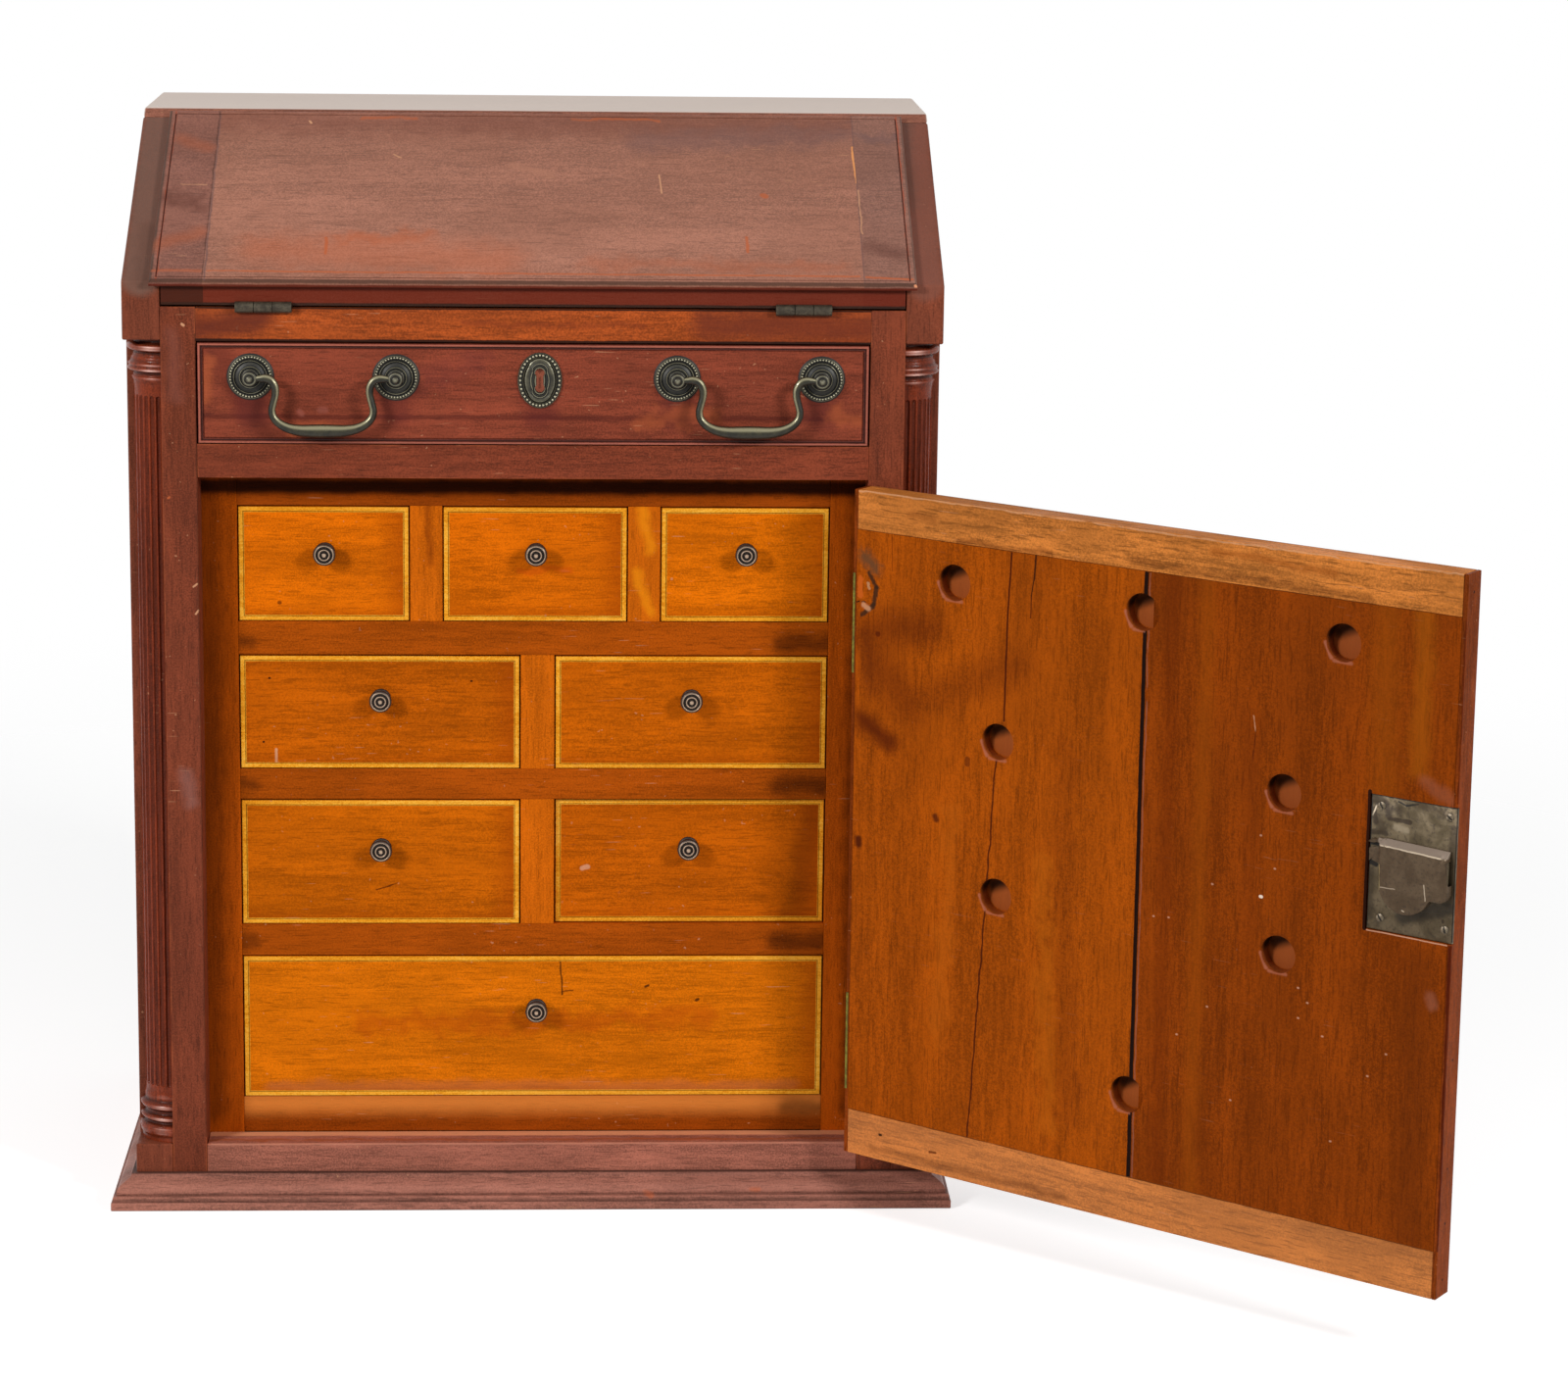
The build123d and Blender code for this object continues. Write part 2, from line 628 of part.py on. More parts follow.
# Fall front: a slab with a lip all round, made of a panel between two cleats
lip_half = side_inner + lid_lip_side_overlap
lip_top = slope_gap + lid_lip_thickness
band_s = -lid_core_depth * slope_sin / slope_cos
foot_s = slope_gap * slope_sin / slope_cos
core_half = side_inner - lid_side_gap
with BuildPart() as lid_blank:
    with BuildSketch(slope_section(-core_half)):
        with BuildLine():
            Polyline(
                (foot_s, slope_gap), (band_s, -lid_core_depth), (lid_core_head, -lid_core_depth),
                (lid_core_head, slope_gap), close=True,
            )
        make_face()
    extrude(amount=2 * core_half)
    with BuildSketch(slope_section(-lip_half)):
        with BuildLine():
            Polyline(
                (-lid_lip_foot_overlap, slope_gap), (lid_lip_head, slope_gap), (lid_lip_head, lip_top),
                (-lid_lip_foot_overlap, lip_top), close=True,
            )
        make_face()
    extrude(amount=2 * lip_half)
    outward = Axis((0, front_y, slope_foot_height), (0, -slope_sin, slope_cos))
    fillet(lid_blank.faces().sort_by(outward)[-1].edges(), lid_lip_round)
    quirk_plane = Plane(
        origin=(0, front_y, slope_foot_height), x_dir=(1, 0, 0), z_dir=(0, -slope_sin, slope_cos)
    ).offset(lip_top - lid_quirk)
    quirk_s = (-lid_lip_foot_overlap + lid_quirk_inset, lid_lip_head - lid_quirk_inset)
    quirk_length = quirk_s[1] - quirk_s[0]
    quirk_width = 2 * (lip_half - lid_quirk_inset)
    with BuildSketch(quirk_plane) as quirk:
        with Locations((0, (quirk_s[0] + quirk_s[1]) / 2)):
            Rectangle(quirk_width, quirk_length)
            Rectangle(quirk_width - 2 * lid_quirk, quirk_length - 2 * lid_quirk, mode=Mode.SUBTRACT)
    extrude(quirk.sketch, amount=overrun, mode=Mode.SUBTRACT)
    for span in lid_hinge_spans:
        rod_along_x(span, lid_axis_y, lid_axis_z, hinge_knuckle_radius + hinge_clearance, Mode.SUBTRACT)
        with BuildSketch(slope_section(span[0])) as leaf_bed:
            with BuildLine():
                Polyline(
                    (band_s - overrun, -lid_core_depth - overrun),
                    (band_s - overrun, -lid_core_depth + hinge_leaf_thickness),
                    (band_s + hinge_leaf_width, -lid_core_depth + hinge_leaf_thickness),
                    (band_s + hinge_leaf_width, -lid_core_depth - overrun), close=True,
                )
            make_face()
        extrude(leaf_bed.sketch, amount=lid_hinge_length, mode=Mode.SUBTRACT)

wide = case_width
lid_joint_half = side_inner - lid_cleat_width
lid_pieces = (
    ("lid_cleat_left", (-wide, -lid_joint_half)),
    ("lid_panel", (-lid_joint_half, lid_joint_half)),
    ("lid_cleat_right", (lid_joint_half, wide)),
)
for name, span in lid_pieces:
    with BuildPart() as lid_piece:
        add(lid_blank.part)
        block(span, (-case_depth, case_depth), (0, 2 * case_height), mode=Mode.INTERSECT)
    keep(lid_piece, name)

# Hinges of the fall front: two fixed plates with their pins, and two moving leaves
knuckle_third = lid_hinge_length / 3
with BuildPart() as lid_hinge_plates:
    for low, high in lid_hinge_spans:
        block(
            (low, high), (front_y, leaf_bed_y),
            (desk_floor_height - hinge_leaf_thickness, desk_floor_height),
        )
        for knuckle in ((low, low + knuckle_third), (high - knuckle_third, high)):
            rod_along_x(knuckle, lid_axis_y, lid_axis_z, hinge_knuckle_radius)
        block(
            (low + knuckle_third - hinge_knuckle_gap, high - knuckle_third + hinge_knuckle_gap),
            (front_y - overrun, front_y + hinge_knuckle_radius),
            (lid_axis_z - hinge_knuckle_radius - overrun, lid_axis_z + overrun), Mode.SUBTRACT,
        )
        rod_along_x((low, high), lid_axis_y, lid_axis_z, hinge_pin_radius, Mode.SUBTRACT)
with BuildPart() as lid_hinge_pins:
    for span in lid_hinge_spans:
        rod_along_x(span, lid_axis_y, lid_axis_z, hinge_pin_radius)
keep_group((lid_hinge_plates, lid_hinge_pins), "lid_hinge_plates")

with BuildPart() as lid_hinge_leaves:
    for low, high in lid_hinge_spans:
        leaf_x = (low + knuckle_third + hinge_knuckle_gap, high - knuckle_third - hinge_knuckle_gap)
        with BuildSketch(slope_section(low)) as leaf:
            with BuildLine():
                Polyline(
                    (band_s, -lid_core_depth), (band_s + hinge_leaf_width, -lid_core_depth),
                    (band_s + hinge_leaf_width, -lid_core_depth + hinge_leaf_thickness),
                    (band_s, -lid_core_depth + hinge_leaf_thickness), close=True,
                )
            make_face()
        extrude(leaf.sketch, amount=lid_hinge_length)
        for side_x in ((low - overrun, leaf_x[0]), (leaf_x[1], high + overrun)):
            rod_along_x(side_x, lid_axis_y, lid_axis_z, hinge_knuckle_radius + hinge_clearance, Mode.SUBTRACT)
        rod_along_x(leaf_x, lid_axis_y, lid_axis_z, hinge_knuckle_radius)
        rod_along_x((low, high), lid_axis_y, lid_axis_z, hinge_pin_radius + hinge_pin_play, Mode.SUBTRACT)
keep(lid_hinge_leaves, "lid_hinge_leaves")

# Top drawer
top_front_half = stile_inner - drawer_gap
top_drawer_low = drawer_opening_low + drawer_foot_gap
top_drawer_high = hinge_rail_low - drawer_gap
front_back_y = front_y + drawer_front_thickness
drawer_mid_z = (top_drawer_low + top_drawer_high) / 2
handle_height = drawer_mid_z + handle_rise
escutcheon_z = drawer_mid_z + escutcheon_rise
handle_centres = (handle_inset_left - stile_inner, stile_inner - handle_inset_right)
handle_post_places = [centre + side * bail_boring / 2 for centre in handle_centres for side in (-1, 1)]
front_height = top_drawer_high - top_drawer_low
with BuildPart() as top_drawer_front:
    block((-top_front_half, top_front_half), (front_y, front_back_y), (top_drawer_low, top_drawer_high))
    face_edges = top_drawer_front.faces().sort_by(Axis.Y)[0].edges()
    fillet(face_edges, drawer_bead_round)
    with BuildSketch(front_plane(0, front_y, drawer_mid_z)) as bead_quirk:
        Rectangle(2 * (top_front_half - drawer_bead_width), front_height - 2 * drawer_bead_width)
        Rectangle(
            2 * (top_front_half - drawer_bead_width - drawer_quirk),
            front_height - 2 * (drawer_bead_width + drawer_quirk), mode=Mode.SUBTRACT,
        )
    extrude(bead_quirk.sketch, amount=-drawer_quirk, mode=Mode.SUBTRACT)
    for post_x in handle_post_places:
        with Locations(front_plane(post_x, front_y, handle_height)):
            Cylinder(
                post_shank_radius, post_shank_depth, align=(Align.CENTER, Align.CENTER, Align.MAX),
                mode=Mode.SUBTRACT,
            )
keep(top_drawer_front, "top_drawer_front")

box_inner = top_front_half - drawer_side_thickness
drawer_box_back = back_board_y - drawer_back_gap
box_top = top_drawer_high - drawer_side_drop
box_z = (top_drawer_low, box_top)
plain_boards(
    "top_drawer_sides",
    [
        ((-top_front_half, -box_inner), (front_back_y, drawer_box_back), box_z),
        ((box_inner, top_front_half), (front_back_y, drawer_box_back), box_z),
    ],
)
box_back_y = drawer_box_back - drawer_side_thickness
plain_board("top_drawer_back", (-box_inner, box_inner), (box_back_y, drawer_box_back), box_z)
bottom_low = top_drawer_low + drawer_bottom_rise
plain_board(
    "top_drawer_bottom", (-box_inner, box_inner), (front_back_y, box_back_y),
    (bottom_low, bottom_low + drawer_bottom_thickness),
)


def keyhole(growth):
    """A figure-eight keyhole, grown all round."""
    for side in (-1, 1):
        with Locations((0, side * keyhole_spread / 2)):
            Circle(keyhole_radius + growth)
    Rectangle(keyhole_waist + 2 * growth, keyhole_spread)


with BuildPart() as escutcheon:
    face = front_plane(escutcheon_x, front_y, escutcheon_z)
    with BuildSketch(face) as plate:
        Ellipse(escutcheon_width / 2, escutcheon_height / 2)
    extrude(plate.sketch, amount=escutcheon_thickness)
    with BuildSketch(face.offset(escutcheon_thickness)) as rim:
        Ellipse(escutcheon_width / 2, escutcheon_height / 2)
        Ellipse(
            escutcheon_width / 2 - escutcheon_rim_width, escutcheon_height / 2 - escutcheon_rim_width,
            mode=Mode.SUBTRACT,
        )
    extrude(rim.sketch, amount=escutcheon_rim_rise)
    with BuildSketch(face.offset(escutcheon_thickness)) as collar:
        keyhole(keyhole_rim_width)
    extrude(collar.sketch, amount=keyhole_rim_rise)
    with BuildSketch(face) as hole:
        keyhole(0)
    extrude(hole.sketch, amount=overrun, mode=Mode.SUBTRACT)
keep(escutcheon, "top_drawer_escutcheon")

# Rosettes and posts: the pivots of the bails face each other inside each pair
rosette_outline = [
    (post_shank_radius, 0), (rosette_radius, 0), (rosette_radius, -rosette_thickness),
    (rosette_radius - rosette_thickness, -rosette_thickness - rosette_ridge_rise / 2),
    (rosette_radius - 2 * rosette_ridge_rise, -rosette_thickness - rosette_ridge_rise),
    (rosette_radius - 3 * rosette_ridge_rise, -rosette_thickness),
    (post_head_radius + rosette_ridge_rise, -rosette_dome_rise),
    (post_shank_radius, -rosette_dome_rise),
]
post_outline = [
    (0, post_shank_depth), (post_shank_radius, post_shank_depth), (post_shank_radius, -rosette_dome_rise),
    (post_head_radius, -rosette_dome_rise), (post_radius, -rosette_dome_rise - rosette_thickness),
    (post_radius, -post_reach + post_button_radius / 2), (post_button_radius, -post_reach), (0, -post_reach),
]
pivot_y = front_y - pivot_reach
bail_pairs = (handle_post_places[:2], handle_post_places[2:])
post_parts = []
for pair in bail_pairs:
    for post_x, inward in zip(pair, (1, -1)):
        seat = Plane(origin=(post_x, front_y, handle_height), x_dir=(1, 0, 0), z_dir=(0, 0, 1))
        spindle = Axis((post_x, front_y, handle_height), (0, 1, 0))
        with BuildPart() as rosette:
            with BuildSketch(seat) as rosette_section:
                with BuildLine():
                    Polyline(*rosette_outline, close=True)
                make_face()
            revolve(rosette_section.sketch, axis=spindle)
        with BuildPart() as post:
            with BuildSketch(seat) as post_section:
                with BuildLine():
                    Polyline(*post_outline, close=True)
                make_face()
            revolve(post_section.sketch, axis=spindle)
            bore = sorted((post_x - inward * bail_pin_depth, post_x + inward * overrun))
            rod_along_x(bore, pivot_y, handle_height, bail_pin_radius + bail_pin_play, Mode.SUBTRACT)
        post_parts += [rosette, post]
keep_group(post_parts, "bail_posts")

# Bails: a swan-necked rod with a swelling grip, its two pins in the posts
rod_start = post_radius + bail_post_gap
for name, pair in zip(("bail_left", "bail_right"), bail_pairs):
    left_x, right_x = pair
    mid_x = (left_x + right_x) / 2
    half_boring = (right_x - left_x) / 2
    with BuildPart() as bail:
        with BuildLine(front_plane(mid_x, pivot_y, handle_height)) as bail_path:
            FilletPolyline(
                (-half_boring + rod_start, 0), (-half_boring + bail_shoulder, 0),
                (-half_boring + bail_waist, -bail_elbow_drop), (0, -bail_drop),
                (half_boring - bail_waist, -bail_elbow_drop), (half_boring - bail_shoulder, 0),
                (half_boring - rod_start, 0),
                radius=[
                    bail_shoulder_bend, bail_elbow_bend, bail_elbow_bend, bail_elbow_bend, bail_shoulder_bend
                ],
            )
        with BuildSketch(Plane(origin=bail_path.line @ 0, z_dir=bail_path.line % 0)) as rod_section:
            Circle(bail_rod_radius)
        sweep(rod_section.sketch, path=bail_path.line)
        for pin in (
            (left_x - bail_pin_depth + bail_pin_play, left_x + rod_start),
            (right_x - rod_start, right_x + bail_pin_depth - bail_pin_play),
        ):
            rod_along_x(pin, pivot_y, handle_height, bail_pin_radius)
        grip_end = grip_length / 2
        grip_shoulder = grip_end * grip_taper_share
        with BuildSketch(front_plane(mid_x, pivot_y, handle_height - bail_drop)) as grip_section:
            with BuildLine():
                Polyline(
                    (-grip_end, 0), (-grip_end, bail_rod_radius), (-grip_shoulder, grip_taper_radius),
                    (0, grip_radius), (grip_shoulder, grip_taper_radius), (grip_end, bail_rod_radius),
                    (grip_end, 0), close=True,
                )
            make_face()
        revolve(grip_section.sketch, axis=Axis((mid_x, pivot_y, handle_height - bail_drop), (1, 0, 0)))
    keep(bail, name)

# Door: two boards between two cleats, with a strip down each edge
board_s = (door_hinge_edge + door_strip_thickness, door_free_edge - door_strip_thickness)
door_n = (door_outer, door_inner)
door_board_joint = board_s[0] + door_board_joint_share * (board_s[1] - board_s[0])
door_cleat_low = door_high - door_cleat_height
door_foot_cleat_high = door_low + door_foot_cleat_height
key_s = lock_left + lock_cap_centre_inset
key_z = lock_low + lock_cap_centre_rise
lock_screw_places = [
    (lock_left + share_s * lock_width, lock_low + share_z * lock_height)
    for share_s, share_z in lock_screw_place_shares
]


def lock_bed():
    """The bed of the lock plate and the bore of the key, cut from the door's wood."""
    block(
        (lock_left, door_free_edge + overrun), (lock_low, lock_high),
        (door_inner - lock_plate_thickness, door_inner + overrun), mode=Mode.SUBTRACT,
    )
    for place in lock_screw_places:
        with Locations((*place, door_inner)):
            Cylinder(
                lock_screw_shank_radius, lock_screw_length, align=(Align.CENTER, Align.CENTER, Align.MAX),
                mode=Mode.SUBTRACT,
            )
    with Locations((key_s, key_z, door_outer)):
        Cylinder(key_bore_radius, 2 * door_thickness, mode=Mode.SUBTRACT)
    block(
        (key_s - key_slot_width / 2, key_s + key_slot_width / 2), (key_z - key_slot_length, key_z),
        (door_outer - overrun, door_inner), mode=Mode.SUBTRACT,
    )


for name, board_span in (
    ("door_board_left", (board_s[0], door_board_joint)),
    ("door_board_right", (door_board_joint, board_s[1])),
):
    with BuildPart(door_plane) as door_board:
        block(board_span, (door_foot_cleat_high, door_cleat_low), door_n)
        for knob_x, knob_z in knob_places:
            recess_s = door_axis_x - knob_x
            if board_span[0] - recess_radius < recess_s < board_span[1] + recess_radius:
                with Locations((recess_s, knob_z, door_inner)):
                    Cylinder(recess_radius, 2 * recess_depth, mode=Mode.SUBTRACT)
        if board_span[1] > lock_left:
            lock_bed()
    keep(door_board, name)

with BuildPart(door_plane) as door_cleats:
    for cleat_z in ((door_cleat_low, door_high), (door_low, door_foot_cleat_high)):
        block(board_s, cleat_z, door_n)
keep(door_cleats, "door_cleats")

door_leaf_s = (door_hinge_edge, door_hinge_edge + door_leaf_thickness)
with BuildPart(door_plane) as door_edge_strips:
    block((door_hinge_edge, board_s[0]), (door_low, door_high), door_n)
    for span in door_hinge_spans:
        block(
            (door_hinge_edge - overrun, door_leaf_s[1]), span, (door_outer - overrun, door_inner + overrun),
            mode=Mode.SUBTRACT,
        )
    block((board_s[1], door_free_edge), (door_low, door_high), door_n)
    block(
        (board_s[1] - overrun, door_free_edge + overrun), (lock_low, lock_high),
        (door_inner - lock_plate_thickness, door_inner + overrun), mode=Mode.SUBTRACT,
    )
keep(door_edge_strips, "door_edge_strips")

# Lock: a plate let into the door, a cap with its bevelled head, the bolt under the cap
with BuildPart(door_plane) as lock_plate:
    block((lock_left, door_free_edge), (lock_low, lock_high), (door_inner - lock_plate_thickness, door_inner))
    for place in lock_screw_places:
        with Locations((*place, door_inner)):
            Cylinder(lock_screw_shank_radius, 2 * lock_plate_thickness + lock_screw_rise, mode=Mode.SUBTRACT)
lock_cap_left = lock_left + lock_cap_left_inset
lock_cap_right = door_free_edge - lock_cap_right_inset
with BuildPart(door_plane) as lock_cap:
    block(
        (lock_cap_left, lock_cap_right), (lock_low + lock_cap_foot_inset, lock_high - lock_cap_head_inset),
        (door_inner, door_inner + lock_cap_rise),
    )
    with Locations((key_s, key_z, door_inner)):
        Cylinder(lock_cap_round, lock_cap_rise, align=(Align.CENTER, Align.CENTER, Align.MIN))
    cap_face = lock_cap.faces().sort_by(Axis(door_plane.origin, door_plane.z_dir))[-1]
    chamfer(cap_face.edges().sort_by(Axis.Z)[-1], lock_cap_bevel)
    block(
        (lock_cap_left - overrun, lock_cap_right + overrun),
        (lock_bolt_low - lock_bolt_play, lock_bolt_high + lock_bolt_play),
        (bolt_low_n - lock_bolt_play, bolt_high_n + lock_bolt_play), mode=Mode.SUBTRACT,
    )
keep_group((lock_plate, lock_cap), "door_lock")

with BuildPart(door_plane) as door_lock_bolt:
    block((lock_bolt_start, lock_bolt_end), (lock_bolt_low, lock_bolt_high), (bolt_low_n, bolt_high_n))
keep(door_lock_bolt, "door_lock_bolt")

with BuildPart(door_plane) as door_lock_screws:
    for place in lock_screw_places:
        with Locations((*place, door_inner)):
            Cylinder(
                lock_screw_radius, lock_screw_rise, align=(Align.CENTER, Align.CENTER, Align.MIN)
            )
            Cylinder(
                lock_screw_shank_radius, lock_screw_length, align=(Align.CENTER, Align.CENTER, Align.MAX)
            )
keep(door_lock_screws, "door_lock_screws")

with BuildPart(door_plane) as door_escutcheon:
    plate_plane = door_plane.offset(door_outer - door_escutcheon_thickness)
    with BuildSketch(plate_plane) as plate:
        with Locations((key_s, key_z)):
            Ellipse(door_escutcheon_width / 2, door_escutcheon_height / 2)
            Circle(key_bore_radius, mode=Mode.SUBTRACT)
        with Locations((key_s, key_z - key_slot_length / 2)):
            Rectangle(key_slot_width, key_slot_length, mode=Mode.SUBTRACT)
    extrude(plate.sketch, amount=door_escutcheon_thickness)
keep(door_escutcheon, "door_escutcheon")

# Butt hinges of the door: leaves let into the stile and into the door's edge
with BuildPart() as door_hinge_plates:
    for low, high in door_hinge_spans:
        knuckle = (high - low) * door_knuckle_share
        block(stile_leaf_x, (door_axis_y, stile_leaf_back_y), (low, high))
        for knuckle_z in ((low, low + knuckle), (high - knuckle, high)):
            with BuildSketch(Plane(origin=(door_axis_x, door_axis_y, knuckle_z[0]))) as barrel:
                Circle(door_knuckle_radius)
            extrude(barrel.sketch, amount=knuckle)
        block(
            (stile_inner - overrun, side_inner), (door_axis_y - overrun, front_y),
            (low + knuckle - hinge_knuckle_gap, high - knuckle + hinge_knuckle_gap), mode=Mode.SUBTRACT,
        )
        with BuildSketch(Plane(origin=(door_axis_x, door_axis_y, low))) as bore:
            Circle(hinge_pin_radius)
        extrude(bore.sketch, amount=high - low, mode=Mode.SUBTRACT)
with BuildPart() as door_hinge_pins:
    for low, high in door_hinge_spans:
        with BuildSketch(Plane(origin=(door_axis_x, door_axis_y, low))) as pin:
            Circle(hinge_pin_radius)
        extrude(pin.sketch, amount=high - low)
keep_group((door_hinge_plates, door_hinge_pins), "door_hinge_plates")

with BuildPart(door_plane) as door_hinge_leaves:
    for low, high in door_hinge_spans:
        knuckle = (high - low) * door_knuckle_share
        middle = (low + knuckle + hinge_knuckle_gap, high - knuckle - hinge_knuckle_gap)
        block(door_leaf_s, (low, high), (0, door_inner))
        for gap_z in ((low - overrun, middle[0]), (middle[1], high + overrun)):
            block(
                (-overrun, board_s[0]), gap_z, (-overrun, door_outer - hinge_clearance), mode=Mode.SUBTRACT
            )
        with BuildSketch(Plane(origin=(door_axis_x, door_axis_y, middle[0]))) as barrel:
            Circle(door_knuckle_radius)
        extrude(barrel.sketch, amount=middle[1] - middle[0])
        with BuildSketch(Plane(origin=(door_axis_x, door_axis_y, low))) as bore:
            Circle(hinge_pin_radius + hinge_pin_play)
        extrude(bore.sketch, amount=high - low, mode=Mode.SUBTRACT)
keep(door_hinge_leaves, "door_hinge_leaves")
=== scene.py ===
"""Looks of the slant front spice desk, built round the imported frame. Lengths below are in millimetres."""
import math

import bmesh
import bpy
import numpy as np
from mathutils import Matrix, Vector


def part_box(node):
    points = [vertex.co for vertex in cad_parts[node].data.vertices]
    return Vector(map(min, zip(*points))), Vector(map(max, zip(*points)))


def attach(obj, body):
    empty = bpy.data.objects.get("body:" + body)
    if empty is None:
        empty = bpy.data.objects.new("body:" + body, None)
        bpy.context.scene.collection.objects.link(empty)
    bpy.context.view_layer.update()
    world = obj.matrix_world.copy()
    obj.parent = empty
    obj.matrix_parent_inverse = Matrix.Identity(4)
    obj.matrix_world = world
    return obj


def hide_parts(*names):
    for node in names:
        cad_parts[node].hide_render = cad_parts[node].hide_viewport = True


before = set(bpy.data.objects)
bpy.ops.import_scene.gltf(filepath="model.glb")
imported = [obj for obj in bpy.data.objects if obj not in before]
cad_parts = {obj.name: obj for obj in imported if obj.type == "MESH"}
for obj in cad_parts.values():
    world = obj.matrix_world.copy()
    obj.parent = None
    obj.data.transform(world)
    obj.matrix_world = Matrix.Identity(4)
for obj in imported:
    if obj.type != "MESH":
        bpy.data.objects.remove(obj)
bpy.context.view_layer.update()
MM = 0.001

# Places shared with the frame
FRONT_Y = -120.0
BACK_Y = 120.0
HALF_WIDTH = 227.5
SIDE_INNER = 206.5
FACE_BACK_Y = -99.0
COLUMN_SPAN = (35.6, 501.5)
SLOPE_ANGLE = math.atan2(83.0, 137.5)
HANDLE_Z = 481.5
BAIL_CENTRES = (-116.8, 119.6)
HALF_BORING = 40.2
PIVOT_Y = FRONT_Y - 8.0
ESCUTCHEON = (3.1, 480.3)
DOOR_AXIS = (188.2, -123.4)
DOOR_TURN = math.radians(38.0)
DOOR_INNER = 18.4
DOOR_OUTER = 3.4
DOOR_FREE = 374.6
LOCK_LOW, LOCK_HIGH = 229.4, 301.7
LOCK_LEFT = 325.3
SPICE_SET_BACK = {7: 3.0}


def mid(low, high):
    return (low + high) / 2


def full_turn(count):
    """The given number of angles, evenly round a circle."""
    return np.linspace(0, 2 * math.pi, count, endpoint=False)


# Camera and lamps
def pose(right, up, back, place):
    """The matrix of a camera or lamp, from its three directions and its place."""
    matrix = np.eye(4)
    for column, vector in enumerate((right, up, back, place)):
        matrix[:3, column] = vector
    return Matrix(matrix.tolist())


def look(position, yaw, pitch, roll):
    """The camera's matrix: forward is yaw round Z then pitch down, and roll turns right towards up."""
    forward = np.array([math.sin(yaw) * math.cos(pitch), math.cos(yaw) * math.cos(pitch), -math.sin(pitch)])
    right = np.array([math.cos(yaw), -math.sin(yaw), 0.0])
    up = np.cross(right, forward)
    side = right * math.cos(roll) + up * math.sin(roll)
    head = up * math.cos(roll) - right * math.sin(roll)
    return pose(side, head, -forward, position)


camera_data = bpy.data.cameras.new("camera")
camera_data.sensor_width = 36.0
camera_data.lens = 92.692
camera_data.shift_x = 0.02255
camera_data.shift_y = -0.10938
camera_data.clip_end = 50.0
camera = bpy.data.objects.new("camera", camera_data)
camera.matrix_world = look(
    np.array([23.156, -2339.595, 831.014]) * MM, math.radians(2.5008), math.radians(10.9302), math.radians(0.6844)
)
bpy.context.scene.collection.objects.link(camera)
bpy.context.scene.camera = camera
bpy.context.scene.view_settings.view_transform = "Standard"


SOFTBOX_SIZE = 0.45


def softbox(name, place, aim, power):
    """A square lamp at place, turned to face aim, both in metres."""
    lamp = bpy.data.lights.new(name, "AREA")
    lamp.shape = "RECTANGLE"
    lamp.size = lamp.size_y = SOFTBOX_SIZE
    lamp.energy = power
    holder = bpy.data.objects.new(name, lamp)
    away = np.array(place) - np.array(aim)
    away = away / np.linalg.norm(away)
    side = np.cross((0, 0, 1), away)
    side = side / np.linalg.norm(side)
    holder.matrix_world = pose(side, np.cross(away, side), away, place)
    bpy.context.scene.collection.objects.link(holder)


softbox("softbox_left", (-1.63, -1.55, 1.35), (0, 0, 0.3), 36.0)
softbox("softbox_right", (1.63, -1.55, 1.35), (0.05, 0, 0.3), 31.0)


# Node graphs
FIGURE_STOPS = (0.22, 0.5, 0.8)


